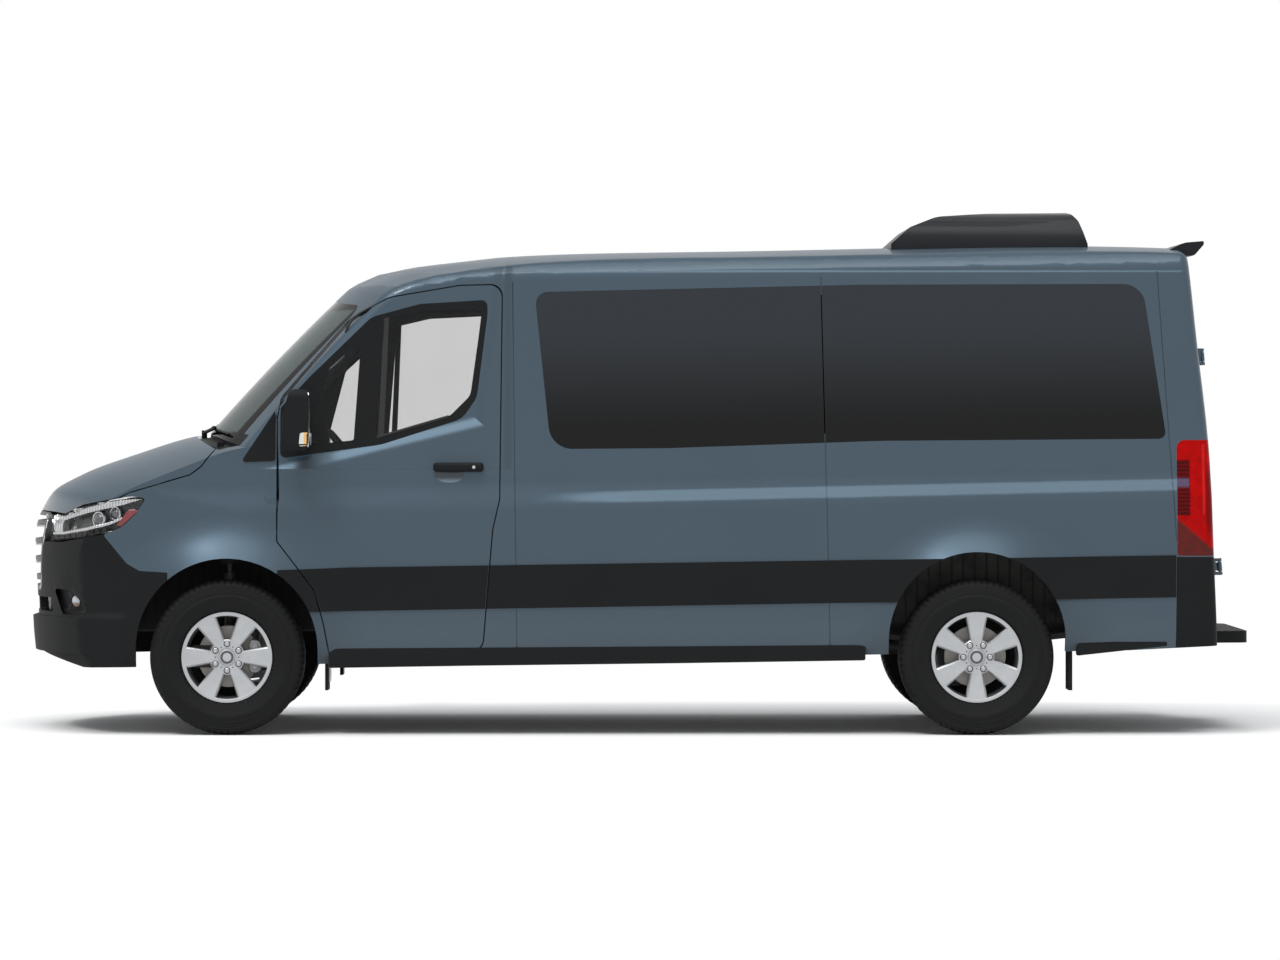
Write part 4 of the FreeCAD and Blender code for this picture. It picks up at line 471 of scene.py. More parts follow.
def skin_at(node, places, axis=1, last=False):
    """Where lines along an axis first (or last) meet a CAD node: all points are tried on all of its triangles."""
    mesh = nodes[node].data
    mesh.calc_loop_triangles()
    corners = np.zeros(len(mesh.loop_triangles) * 3, np.int64)
    mesh.loop_triangles.foreach_get("vertices", corners)
    triangles = points_of(mesh)[corners.reshape(-1, 3)]
    flat = [0, 2] if axis == 1 else [1, 2]
    places = np.asarray(places, float)
    point = places.reshape(-1, 2)
    low, high = point.min(0) - 0.001, point.max(0) + 0.001
    near = (triangles[..., flat].max(1) > low).all(-1) & (triangles[..., flat].min(1) < high).all(-1)
    if axis == 1:
        near &= triangles[..., 1].max(1) < 0
    triangles = triangles[near]
    a, b, c = (triangles[:, k][:, flat] for k in range(3))
    cross = lambda m, n: m[..., 0] * n[..., 1] - m[..., 1] * n[..., 0]
    area = cross(b - a, c - a)
    area = np.where(np.abs(area) < 1e-12, np.nan, area)
    from_a = point[:, None] - a
    with np.errstate(invalid="ignore"):
        v, w = cross(from_a, c - a) / area, cross(b - a, from_a) / area
        met = (v > -1e-4) & (w > -1e-4) & (v + w < 1.0002)
    depth = triangles[:, 0, axis] * (1 - v - w) + triangles[:, 1, axis] * v + triangles[:, 2, axis] * w
    depth = np.where(met, depth, -np.inf).max(1) if last else np.where(met, depth, np.inf).min(1)
    known = np.isfinite(depth)
    if not known.all():
        missed = point[~known]
        nearest = ((missed[:, None] - point[known][None]) ** 2).sum(-1).argmin(1)
        depth[~known] = depth[known][nearest]
    return depth.reshape(places.shape[:-1])


def mm(points):
    """Millimetres from the front axle and the road, x, z or x, y, z, as metres in the vehicle's frame."""
    return np.array(points, float) / 1000 + (FRONT_AXLE, 0, 0)[:np.shape(points)[-1]]


def laid_on(node, outline, layers):
    """A plate over a side-view outline that follows a CAD node: height is measured outwards from its skin."""
    x, z, height = np.moveaxis(plate(outline, layers), -1, 0)
    return xyz(x, skin_at(node, xyz(x, z)) - height, z)


def set_square(grid, centre, sideways=(0, 1, 0), out=(1, 0, 0)):
    """A plate set square to a direction: its length runs sideways, its width upwards and its height outwards."""
    return centre + grid[..., :1] * sideways + grid[..., 1:2] * (0, 0, 1) + grid[..., 2:] * out


def flipped(grid):
    """The same form on the right side."""
    return grid * (1, -1, 1)


def pair(name, grids, finish, bodies, slot=None, **more):
    """A piece on the left and its mirror image on the right."""
    grids = grids if isinstance(grids, list) else [grids]
    left = make(f"{name}_left", grids, finish, bodies[0], slot, **more)
    right = make(f"{name}_right", [flipped(g) for g in grids], finish, bodies[1], slot, **more)
    return left, right


FIXED = ("body", "body")
DOORS = ("door_left", "door_right")
cover = Finish("lamp_cover", Roughness=0.03, IOR=1.5)
cover.cloudy(8.0, (0.02, 0.021, 0.022), (0.03, 0.031, 0.032)).feed(Alpha=0.10 + cover.noise(3.0) * 0.04)
dress(cover, "headlamps")
bowl_black = Finish("lamp_bowl", Roughness=0.3, Coat_Weight=0.5)
bowl_black.cloudy(40.0, (0.006, 0.0062, 0.0065), (0.022, 0.023, 0.025))
mirror_bright = Finish("lamp_reflector", Metallic=0.9)
flutes = (mirror_bright.axes()[0] * 420.0).sine() * 0.5 + 0.5
mirror_bright.feed(Base_Color=mirror_bright.blend(flutes, (0.62, 0.63, 0.64), (0.88, 0.89, 0.9)),
                   Roughness=0.14 + flutes * 0.12, Normal=mirror_bright.bump(flutes, 0.0012, 0.7))
marker_red = Finish("side_marker", Roughness=0.12, Coat_Weight=0.8)
marker_red.cloudy(60.0, (0.17, 0.010, 0.014), (0.26, 0.018, 0.022))
projector_glass = Finish("projector_glass", Roughness=0.03, Metallic=0.3, Coat_Weight=1.0)
projector_glass.cloudy(30.0, (0.10, 0.11, 0.12), (0.2, 0.21, 0.22))
lamp_low = mm([(-905, 946), (-840, 950), (-695, 969), (-607, 986), (-560, 1003), (-509, 1029), (-445, 1086),
               (-402, 1150)])
lamp_high = mm([(-905, 1074), (-840, 1072), (-716, 1117), (-640, 1136), (-533, 1153), (-460, 1159), (-430, 1158),
                (-402, 1152)])


def lamp_line(share, start=-905, end=-402, count=30):
    """A line along the lamp between its lower edge (share 0) and its upper edge (share 1)."""
    x = np.linspace(start, end, count) / 1000 + FRONT_AXLE
    low, high = np.interp(x, *lamp_low.T), np.interp(x, *lamp_high.T)
    return xyz(x, low + (high - low) * share)


def lamp_skin(points, depth):
    """Points of the side view put behind the lamp's cover by a depth, square to it where it turns round the nose."""
    y, reach = skin_at("headlamps", points), 0.012
    lean = np.clip((y - skin_at("headlamps", points + (reach, 0))) / reach, 0, 6)
    length = np.sqrt(1 + lean ** 2)
    return xyz(points[..., 0] + depth * lean / length, y + depth / length, points[..., 1])


def strip(low, high, depth, thick, start=-895, end=-410, count=36, bulge=0.0):
    """A closed strip along the lamp between two shares of its height, rounded across by bulge."""
    rows = np.array([0.0, 0.0, 0.15, 0.35, 0.5, 0.65, 0.85, 1.0, 1.0])
    front = np.array([thick, 0, -0.6, -0.9, -1, -0.9, -0.6, 0, thick])
    front = np.where(front > 0, thick, front * bulge)
    lines = [lamp_skin(lamp_line(low + (high - low) * s, start, end, count), depth + f) for s, f in zip(rows, front)]
    closed = np.stack(lines + lines[:1])
    poles = closed.mean(0) + 0 * closed
    return np.concatenate([poles[:, :1], closed, poles[:, -1:]], 1)


for name, finish, form in (
        ("lamp_bowl", bowl_black, strip(0.03, 0.97, 0.06, 0.012)),
        ("lamp_upper_reflector", mirror_bright, strip(0.76, 0.985, 0.016, 0.03, -880, -412, bulge=0.006)),
        ("lamp_front_reflector", mirror_bright, strip(0.24, 0.80, 0.022, 0.03, -893, -842, 14, bulge=0.008)),
        ("lamp_light_strip", mirror_bright, strip(0.20, 0.30, 0.012, 0.02, -893, -470, bulge=0.004))):
    pair(name, form, finish, FIXED, "lamp_clear", wrap=(False, False))
teeth = [strip(0.02, 0.17, 0.010, 0.02, start, start + 22, 5) for start in range(-888, -600, 34)]
pair("lamp_teeth", teeth, black_and_hole_shade, FIXED, "black_plastic", wrap=(False, False))
marker = rounded(mm([(-543, 1024), (-515, 1018), (-430, 1096), (-450, 1103), (-484, 1101)]), 0.006)
marker_grid = plate(marker, [(0, 0), (1, 0), (1, 0.006), (0.9, 0.009), (0, 0.01)])
marker_layers = [lamp_skin(layer[None, :, :2], 0.014 - layer[0, 2]) for layer in marker_grid]
pair("lamp_side_marker", np.concatenate(marker_layers), marker_red, FIXED, "lamp_red")
for number, (u, z, radius) in enumerate(((-640, 1052, 0.040), (-552, 1082, 0.034))):
    stand = lamp_skin(mm([[(u, z)]]), 0.05)[0, 0], (0.78, -0.62, 0.0), np.array([-0.62, -0.78, 0.0])
    lens = plate(circle(radius * 0.78, 40), [(0, 0), (1, 0), (1, 0.008), (0.93, 0.013), (0.75, 0.019), (0.5, 0.023),
                                             (0.25, 0.0248), (0, 0.0255)])
    bezel = plate(circle(radius, 40), [(0.8, 0), (1, 0), (1.02, 0.008), (0.98, 0.014), (0.82, 0.014), (0.8, 0.009),
                                       (0.8, 0)])
    pair(f"projector_{number}_lens", set_square(lens, *stand), projector_glass, FIXED, "lamp_clear", smooth=70)
    pair(f"projector_{number}_bezel", set_square(bezel, *stand), mirror_bright, FIXED, "lamp_clear")

# Fog lamps: round glass lamps with a black ring, set in a recess at each corner of the bumper. A dark plate laid on
# the recess's floor is painted shade.
fog_skin = skin_at("front_bumper", mm([(-745, 650)]))[0]
fog_stand = np.array([FRONT_AXLE - 0.742, fog_skin + 0.004, 0.650]), (0.86, -0.51, 0), (-0.51, -0.86, 0)
pocket = rounded(mm([(-868, 700), (-786, 695), (-694, 617), (-701, 591), (-820, 590)]), 0.016)
# Painted shade: a dark plate on the recess's floor.
pocket_shade_plate = laid_on("front_bumper", pocket,
                       [(0, -0.004), (0.97, -0.004), (1, 0.0004), (0.97, 0.0008), (0, 0.0008)])
pair("fog_lamp_pocket_shade", pocket_shade_plate, black_and_hole_shade, FIXED, "black_plastic")
fog_glass = Finish("fog_lamp_glass", Roughness=0.05, Coat_Weight=1.0, Metallic=0.4)
fz = fog_glass.axes()[2]
fog_glass.feed(Base_Color=fog_glass.blend(1.0 - fz.above(0.636, 0.65), (0.5, 0.52, 0.55), (0.16, 0.10, 0.08)),
               Normal=fog_glass.bump((fz * 900.0).sine(), 0.0006, 0.5))
fog_lens = plate(circle(0.033, 36), [(0, 0), (1, 0), (1, 0.006), (0.9, 0.011), (0.6, 0.016), (0, 0.018)])
fog_ring = plate(circle(0.041, 36), [(0.8, 0), (1, 0), (1.02, 0.006), (0.96, 0.012), (0.82, 0.01), (0.8, 0)])
pair("fog_lamp", set_square(fog_lens, *fog_stand), fog_glass, FIXED, "lamp_clear", smooth=60)
pair("fog_lamp_ring", set_square(fog_ring, *fog_stand), shell_gloss, FIXED, "black_plastic")

# Tail lamps: one-piece moulded red lenses, screwed to the rear corners. Each has a dark lattice block on its inner
# side, an upright bright bar, a darker outer band and a smoky lower third.
tail = Finish("tail_lens", Roughness=0.12, Coat_Weight=0.06, Coat_Roughness=0.03, Specular_IOR_Level=0.05)
tx, _, tz = tail.axes()
inner = tx.within(2.630, 2.699) * tz.within(1.075, 1.345)
lattice = inner * (((tz + tail.noise(55.0) * 0.012) * 330.0).sine().above(-0.4, 0.5) * 0.2 + 0.76)
cool = tx.within(2.632, 2.695) * tz.within(1.213, 1.255, 0.008)
under_line = 1.0 - (tz + (tx - 2.64) * 0.85).above(1.04, 1.07)
smoky = under_line.most(1.0 - tz.above(0.905, 0.925)) * (0.75 + tail.noise(40.0) * 0.4)
bars = ((tx - 2.765).size() < 0.006) * tz.within(1.08, 1.42)
outer_band = tx.above(2.768, 2.784) * tz.within(0.985, 1.29, 0.06)
lens = tail.blend(tail.noise(26.0), (0.24, 0.0, 0.0), (0.52, 0.0, 0.0))
for share, colour in ((lattice, (0.035, 0.002, 0.003)), (cool * 0.75, (0.10, 0.09, 0.16)),
                      (smoky * 0.92, (0.062, 0.018, 0.016)), (outer_band * 0.7, (0.10, 0.0, 0.002)),
                      (bars * 0.35, (0.75, 0.03, 0.03))):
    lens = tail.blend(share, lens, colour)
tail.feed(Base_Color=lens, Normal=tail.bump((tz * 420.0).sine() * 0.5 + (tx * 900.0).sine() * 0.5, 0.0005, 0.4))
dress(tail, "tail_lamps")

# Grille: a moulded black frame with slats, clipped in under the hood. Bright bars lie along the slats' noses, and a
# thin bright line runs round the frame.
grille_black = Finish("grille_black", Roughness=0.4)
grille_black.cloudy(6.0, (0.010, 0.0105, 0.011), (0.018, 0.018, 0.019), relief=(700.0, 0.0001, 0.5))
dress(grille_black, "grille")
chrome = Finish("bright_trim", Metallic=1.0)
chrome.cloudy(3.0, (0.50, 0.51, 0.53), (0.60, 0.61, 0.63), rough=(0.08, 60.0, 0.08))


def bar(path, wide, high, up=(0, 0, 1), count=16, square=0.6):
    """A rounded bar along a path: half sizes across and up at each point, and poles at both ends."""
    path = np.array(path, float)
    run = np.gradient(path, axis=0)
    run /= np.linalg.norm(run, axis=1, keepdims=True)
    across = np.cross(run, up)
    across /= np.linalg.norm(across, axis=1, keepdims=True)
    rise = np.cross(across, run)
    angle = np.linspace(0, 2 * math.pi, count, endpoint=False)
    c, s = (np.sign(f) * np.abs(f) ** square for f in (np.cos(angle), np.sin(angle)))
    wide, high = (np.broadcast_to(v, len(path))[:, None, None] for v in (wide, high))
    rings = path[:, None] + across[:, None] * wide * c[None, :, None] + rise[:, None] * high * s[None, :, None]
    return np.concatenate([path[0] + 0 * rings[:1], rings, path[-1] + 0 * rings[:1]])


slat_bars = []
for z, reach in ((1.012, 0.446), (0.922, 0.436), (0.832, 0.402)):
    y = np.linspace(-reach, reach, 41)
    slat_bars.append(bar(xyz(skin_at("grille", xyz(y, z - 0.002), axis=0) + 0.004, y, z), 0.006, 0.009))
make("grille_bars", slat_bars, chrome, "body", "bright_trim")
rim_path = rounded([(-0.450, 1.068), (0.450, 1.068), (0.468, 0.985), (0.352, 0.702), (-0.352, 0.702),
                    (-0.468, 0.985)],
                   0.06, 10)
rim_path = np.concatenate([rim_path, rim_path[:2]])
rim_bar = bar(xyz(skin_at("grille", rim_path, axis=0) + 0.004, *rim_path.T), 0.0045, 0.0045)
make("grille_rim", rim_bar, chrome, "body", "bright_trim")

# Intake backing: a black strip clipped behind the openings in the bumper, as the mesh in a real one is, so that
# nothing is seen through them.
strip_y = np.linspace(-0.73, 0.73, 41)
strip_x = skin_at("front_bumper", xyz(strip_y, 0.690), axis=0) + 0.058
make("intake_backing", bar(xyz(strip_x, strip_y, 0.628), 0.003, 0.052), grille_black, "body", "black_plastic")

# Window bars and wipes: a black division bar stands behind the front edge of each door's main glass, and a rubber
# wipe is pressed over the edge of the trim along the foot of the glass.
rubber_seal = Finish("rubber_seal", Roughness=0.7)
rubber_seal.cloudy(8.0, (0.007, 0.007, 0.0075), (0.013, 0.013, 0.0135), relief=(500.0, 0.0001, 0.4))
division = rounded(mm([(738, 1452), (767, 1458), (792, 2046), (766, 2038)]), 0.008)
division_bar = laid_on("door_left_glass", division, [(0, -0.02), (0.9, -0.02), (1, -0.018), (1, 0.0004),
                                                     (0.9, 0.0008), (0, 0.0008)])
pair("division_bar", division_bar, rubber_seal, DOORS, "black_plastic")
wipe_x = np.linspace(735, 1085, 24)
wipe_path = mm(xyz(wipe_x, np.interp(wipe_x, [722, 1090, 1110], [1452, 1560, 1568])))
wipe_y = skin_at("door_left_trim", wipe_path - (0, 0.012))
window_wipe = bar(xyz(wipe_path[:, 0], wipe_y + 0.002, wipe_path[:, 1]), 0.004, 0.006)
pair("window_wipe", window_wipe, rubber_seal, DOORS, "black_plastic")

# Door seals: a soft black rubber tube, pushed on to the body's flange round each front door's opening. It follows
# the door's outline a little way behind the gap.
seal_line = rounded(mm([(251, 949), (433, 709), (478, 540), (503, 390), (1189, 390), (1253, 440), (1300, 1003),
                         (1334, 1154), (1346, 2206), (1138, 2199), (795, 2142), (599, 2038)]), 0.07, 10)
seal_y = skin_at("door_left", seal_line.mean(0) + (seal_line - seal_line.mean(0)) * 0.965)
seal_path = xyz(seal_line[:, 0], seal_y + 0.026, seal_line[:, 1])[6:]
pair("door_seal", bar(seal_path, 0.006, 0.007, up=(0, 1, 0), count=10, square=1.0), rubber_seal, FIXED,
     "black_plastic")

# Door mirrors: a silvered glass is let into the rear face of each moulded housing, and a clear lens with an amber
# bulb behind it is clipped into the lower outer corner.
mirror_glass = Finish("mirror_glass", Metallic=1.0)
mirror_glass.cloudy(4.0, (0.70, 0.72, 0.74), (0.74, 0.76, 0.78), rough=(0.02, 9.0, 0.02))
glass_edge = rounded([(-1.205, 1.405), (-1.075, 1.405), (-1.075, 1.675), (-1.197, 1.675)], 0.03)
mirror_pane = plate(glass_edge, [(0, -0.01), (1, -0.01), (1, 0.0), (0.97, 0.0012), (0, 0.0012)])
pair("mirror_glass", set_square(mirror_pane, (FRONT_AXLE + 0.4118, 0, 0)), mirror_glass, DOORS, "bright_trim")
turn_lens = Finish("turn_lens", Roughness=0.08, Coat_Weight=1.0)
ux, _, uz = turn_lens.axes()
turn_lens.feed(Base_Color=turn_lens.blend(((ux + 1.603).size() < 0.009) + 0.0, (0.62, 0.64, 0.58),
                                          (0.75, 0.42, 0.12)),
               Normal=turn_lens.bump((uz * 600.0).sine(), 0.0006, 0.5))
turn_outline = rounded(mm([(366, 1412), (413, 1415), (414, 1480), (372, 1478)]), 0.012)
turn_flat = plate(turn_outline, [(0, -0.004), (1, -0.004), (1, 0.002), (0.9, 0.0048), (0.6, 0.0065), (0, 0.007)])
turn_skin = skin_at("door_left_trim", turn_flat[..., :2])
MIRROR_OUTSIDE = -1.2374
turn_y = np.maximum(turn_skin - turn_flat[..., 2], MIRROR_OUTSIDE)
pair("mirror_turn_lamp", xyz(turn_flat[..., 0], turn_y, turn_flat[..., 1]), turn_lens, DOORS, "lamp_clear")

# Door handles: each black bar stands over a scoop pressed in the sheet. A thin plate in the scoop carries a painted
# highlight along its foot and painted shade above it. Behind the bar's rear end is the lock's bright metal face.
lock_face = plate(circle(0.0085, 28, FRONT_AXLE + 1.208, 1.310), [(0, 0.02), (1, 0.02), (1, 0.0385), (0.9, 0.04),
                                                                 (0.45, 0.04), (0.4, 0.0385), (0, 0.0385)])
handle_skin = skin_at("door_left_trim", mm([(1200, 1310.5)]))[0]
lock_grid = xyz(lock_face[..., 0], handle_skin + 0.0382 - lock_face[..., 2], lock_face[..., 1])
pair("door_lock", lock_grid, chrome, DOORS, "bright_trim")
scoop_outline = rounded(mm([(1012, 1302), (1020, 1254), (1060, 1234), (1120, 1234), (1158, 1256), (1164, 1296)]),
                        0.03)
scoop_light_and_shade = Finish("handle_scoop_painted_light", Metallic=0.3, Roughness=0.4, Coat_Weight=0.6)
hx, _, hz = scoop_light_and_shade.axes()
# Painted highlight at the scoop's foot, painted shade above it.
scoop_light_and_shade.feed(Base_Color=scoop_light_and_shade.blend(hz.above(1.240, 1.262), (0.12, 0.17, 0.21), (0.022, 0.034, 0.045)),
                 Normal=scoop_light_and_shade.bump(((hx + 0.915) / 0.075) ** 2.0 + ((hz - 1.275) / 0.045) ** 2.0, 0.006))
scoop_grid = laid_on("door_left", scoop_outline,
                     [(0, -0.003), (0.98, -0.003), (1, 0.0002), (0.96, 0.0006), (0, 0.0006)])
pair("handle_scoop_painted_light", scoop_grid, scoop_light_and_shade, DOORS, "paint")

# Sliding door handle, rear door handle and the blank panel for a number plate: black mouldings, clipped on to the
# sheet. The panel is flat, and stands on the rear door's furthest point.
grip_outline = rounded(mm([(1475, 1296), (1660, 1300), (1660, 1262), (1475, 1258)]), 0.016)
flat_grip = laid_on("side_left", grip_outline, [(0, -0.002), (1, -0.002), (1, 0.012), (0.94, 0.02), (0, 0.022)])
make("sliding_door_handle", flipped(flat_grip), plastic, "body", "black_plastic")
rear_grip = plate(rounded([(-0.235, 1.035), (-0.060, 1.035), (-0.060, 1.078), (-0.235, 1.078)], 0.016),
                  [(0, -0.003), (1, -0.003), (1, 0.010), (0.93, 0.020), (0, 0.022)])
rear_x = skin_at("rear_door_left", rear_grip[..., :2], axis=0, last=True)
make("rear_door_handle", xyz(rear_x + rear_grip[..., 2], rear_grip[..., 0], rear_grip[..., 1]), plastic,
     "rear_door_left", "black_plastic")
blank = plate(rounded([(-0.660, 1.000), (-0.300, 1.000), (-0.300, 1.112), (-0.660, 1.112)], 0.010),
              [(0, -0.003), (1, -0.003), (1, 0.004), (0.985, 0.0055), (0.97, 0.004), (0, 0.004)])
rearmost = skin_at("rear_door_left", blank[..., :2], axis=0, last=True).max()
make("number_plate_panel", set_square(blank, (rearmost, 0, 0)), plastic, "rear_door_left", "black_plastic")

# Hinge cover: a thin painted patch over the pocket of each front door's upper hinge, flush with the wing above and
# below it.
patch = plate(rounded(mm([(186, 1112), (245, 1112), (245, 1176), (186, 1176)]), 0.006),
              [(0, -0.002), (1, -0.002), (1, 0.0), (0.94, 0.0006), (0, 0.0006)])
over, under = (skin_at("front_wings", patch[..., :2] + (0, height)) for height in (0.06, -0.06))
patch_grid = xyz(patch[..., 0], (over + under) / 2 - patch[..., 2] - 0.0006, patch[..., 1])
pair("hinge_cover", patch_grid, paint, FIXED, "paint")

# Roof antenna: a short black moulded fin, screwed to the front of the roof on the vehicle's centre line. Its foot
# follows the roof.
fin_x, fin_half = FRONT_AXLE + 0.78, 0.045
fin_u = np.linspace(-fin_half, fin_half, 24)
fin_high = 0.020 * np.sqrt(np.clip(1 - (fin_u / 0.046) ** 2, 0.02, 1))
roof_mesh = points_of(nodes["roof"].data)
on_line = roof_mesh[(np.abs(roof_mesh[:, 1]) < 0.25) & (roof_mesh[:, 0] < -1.0)]
fin_foot = [on_line[np.argsort(np.abs(on_line[:, 0] - (fin_x + u)))[:12], 2].max() for u in (-fin_half, fin_half)]
fin_z = np.interp(fin_u, [-fin_half, fin_half], fin_foot)
fin_path = xyz(fin_x + fin_u, 0, fin_z + fin_high / 2 - 0.004)
antenna = bar(fin_path, 0.012 * fin_high / 0.02, fin_high / 2 + 0.004, square=0.8)
make("roof_antenna", antenna, plastic, "body", "black_plastic")

# Under the flanks: a galvanised steel clip that holds each front mud flap, and the bracket of the same steel that
# carries the rear bumper's corner behind the rear wheels.
clip = bar(mm([(499, -905, 452), (500, -905, 420), (503, -904, 360), (504, -903, 300), (503, -903, 262)]),
           0.005, 0.012, up=(0, 1, 0))
pipe_steel = Finish("galvanised_steel", Metallic=0.8)
pipe_steel.cloudy(30.0, (0.42, 0.43, 0.43), (0.58, 0.58, 0.57), detail=5.0, rough=(0.35, 14.0, 0.25))
pair("mud_flap_clip", clip, pipe_steel, FIXED, "bare_steel")
bracket = bar(mm([(4230, -820, 452), (4330, -850, 438), (4450, -868, 440), (4545, -868, 456), (4590, -860, 470)]),
              0.010, 0.010)
pair("bumper_bracket", bracket, pipe_steel, FIXED, "bare_steel")

# Sills: a black moulded strip under each flank, between the wheels and again behind the rear ones. It is let in
# behind the sheet, whose lower edge hides its top.
for name, low, high in (("sill_strip", [(500, 329), (1200, 340), (2200, 352), (3120, 366)],
                         [(500, 425), (3120, 440)]),
                        ("rear_sill_strip", [(4150, 388), (4350, 410), (4596, 437)], [(4150, 450), (4596, 470)])):
    outline = rounded(mm(low + high[::-1]), 0.012)
    x, z, height = np.moveaxis(plate(outline, [(0, -0.05), (0.93, -0.05), (1, -0.042), (1, -0.012), (0.97, -0.005),
                                               (0, -0.005)]), -1, 0)
    pair(name, xyz(x, skin_at("side_left", xyz(x, 0.47)) - height - 0.001, z), plastic, FIXED, "black_plastic")

# Running gear and cabin mouldings: frame, axle and seat frames of coated steel, a bare steel exhaust, and grained
# plastic for the tank, floor and dashboard. The ribbed arch liners are felt, with dust on the rear ones.
steel = Finish("frame_steel", Roughness=0.55)
steel.cloudy(9.0, (0.012, 0.012, 0.013), (0.03, 0.028, 0.026), detail=5.0, relief=(120.0, 0.0003, 0.4))
dress(steel, "front_suspension", "chassis", "rear_axle", "seat_frames")
bare = Finish("bare_steel", Metallic=0.9, Roughness=0.4)
bare.cloudy(6.0, (0.3, 0.29, 0.27), (0.16, 0.13, 0.1), detail=5.0)
dress(bare, "exhaust")
moulded = Finish("cabin_moulding", Roughness=0.6)
moulded.cloudy(4.0, (0.022, 0.023, 0.025), (0.032, 0.033, 0.035), relief=(900.0, 0.00015, 0.5))
dress(moulded, "fuel_tank", "dashboard", "steering_wheel", "floor")
liner = Finish("arch_liner", Roughness=0.8)
lx = liner.axes()[0]
ribs = (lx * 110.0).sine().above(0.82, 0.97)
dusty = lx.above(0.5, 0.6) * (1.0 - ribs * 0.7) * liner.noise(9.0).above(0.2, 0.6)
liner.feed(Base_Color=liner.blend(dusty, (0.006, 0.006, 0.006), (0.045, 0.043, 0.04)),
           Normal=liner.bump(ribs, 0.004, 0.8))
dress(liner, "wheelhouses")

# Dashboard: an instrument hood of the same grained plastic, a glass display in the middle and four round air vents,
# all standing out from the dashboard's rear face.
hood_form = plate(rounded([(-0.62, 1.345), (-0.34, 1.345), (-0.36, 1.405), (-0.6, 1.405)], 0.03),
                  [(0, 0), (1, 0), (1.04, 0.05), (1, 0.15), (0.9, 0.16), (0, 0.16)])
make("instrument_hood", set_square(hood_form, (FRONT_AXLE + 0.24, 0, 0)), moulded, "body", "cabin_plastic")
panel = Finish("display_glass", Roughness=0.06, Coat_Weight=1.0)
panel.cloudy(4.0, (0.004, 0.0045, 0.005), (0.008, 0.009, 0.011))
display = plate(rounded([(-0.13, 1.23), (0.13, 1.23), (0.13, 1.36), (-0.13, 1.36)], 0.014),
                [(0, 0), (1, 0), (1, 0.012), (0.96, 0.016), (0, 0.016)])
make("centre_display", set_square(display, (FRONT_AXLE + 0.468, 0, 0)), panel, "body", "cabin_plastic")
vent_layers = [(0, 0.004), (0.78, 0.004), (0.82, 0.018), (1, 0.02), (1.06, 0.012), (1.06, -0.01), (0, -0.01)]
vents = [set_square(plate(circle(0.048, 36, y, 1.275), vent_layers), (FRONT_AXLE + 0.477, 0, 0))
         for y in (-0.82, -0.22, 0.22, 0.82)]
make("air_vents", vents, shell_gloss, "body", "cabin_plastic")

# Seats: foam pads in woven cloth, a cushion and a leaning back at each place, sewn in channels. One cushion and one
# back are swollen by a cloth simulation and copied to the other places.
cloth = Finish("seat_cloth", Roughness=0.9, Sheen_Weight=0.25)
wx, wy, wz = cloth.axes()
weave = (wx * 1500.0).sine() * (wy * 1500.0 + wz * 1500.0).sine()
cloth.feed(Base_Color=cloth.blend(weave * 0.25 + cloth.noise(12.0) * 0.75, (0.018, 0.020, 0.024),
                                  (0.036, 0.039, 0.045)),
           Normal=cloth.bump(weave, 0.0004, 0.5))


def pad_form(long, wide, high, waist):
    """A rounded slab: an eight-cornered outline drawn in between its corners, in layers with soft edges."""
    outline = rounded([(-long, -wide), (0, -wide + waist), (long, -wide), (long - waist, 0), (long, wide),
                       (0, wide - waist),
                       (-long, wide), (-long + waist, 0)], 0.06, 8)
    return plate(outline, [(0, -high * 0.9), (0.86, -high * 0.92), (0.96, -high * 0.72), (1, -high * 0.1),
                           (0.97, high * 0.55), (0.86, high * 0.9), (0.5, high), (0, high)])


def swollen(name, grid, pressure, cap, voxel):
    """The form blown up as sewn cloth for 20 steps, no point moving further than the cap, and the result kept."""
    piece = make(name, grid, cloth, "body", "seat_fabric")
    piece.parent = None
    remesh = piece.modifiers.new("remesh", "REMESH")
    remesh.mode, remesh.voxel_size = "VOXEL", voxel
    bpy.context.view_layer.update()
    start = bpy.data.meshes.new_from_object(piece.evaluated_get(bpy.context.evaluated_depsgraph_get()))
    piece.modifiers.clear()
    piece.data = start
    before = after = points_of(start)
    sewn = piece.modifiers.new("sewn", "CLOTH")
    sewn.settings.use_pressure, sewn.settings.uniform_pressure_force = True, pressure
    sewn.settings.effector_weights.gravity = 0
    sewn.settings.quality, sewn.settings.mass = 5, 0.3
    for step in range(1, 21):
        bpy.context.scene.frame_set(step)
    after = points_of(piece.evaluated_get(bpy.context.evaluated_depsgraph_get()).data)
    piece.modifiers.clear()
    bpy.context.scene.frame_set(1)
    shift = after - before
    reach = np.linalg.norm(shift, axis=1, keepdims=True)
    points = before + shift * np.minimum(1, cap / np.maximum(reach, 1e-9))
    bpy.data.objects.remove(piece)
    return start, points


def seams(points, stripes, depth=0.007, width=0.007, bolster=0.165):
    """Sewn channels: where the cloth lies near a line it is drawn in towards the pad's middle plane."""
    along, across = points[:, 0], np.abs(points[:, 1])
    drawn = sum(np.exp(-((along - s) / width) ** 2) for s in stripes) * (across < bolster)
    sides = np.exp(-((across - bolster) / width) ** 2)
    out = points.copy()
    out[:, 2] -= depth * np.clip(points[:, 2] / 0.05, 0, 1) * np.minimum(drawn + sides, 1)
    return out


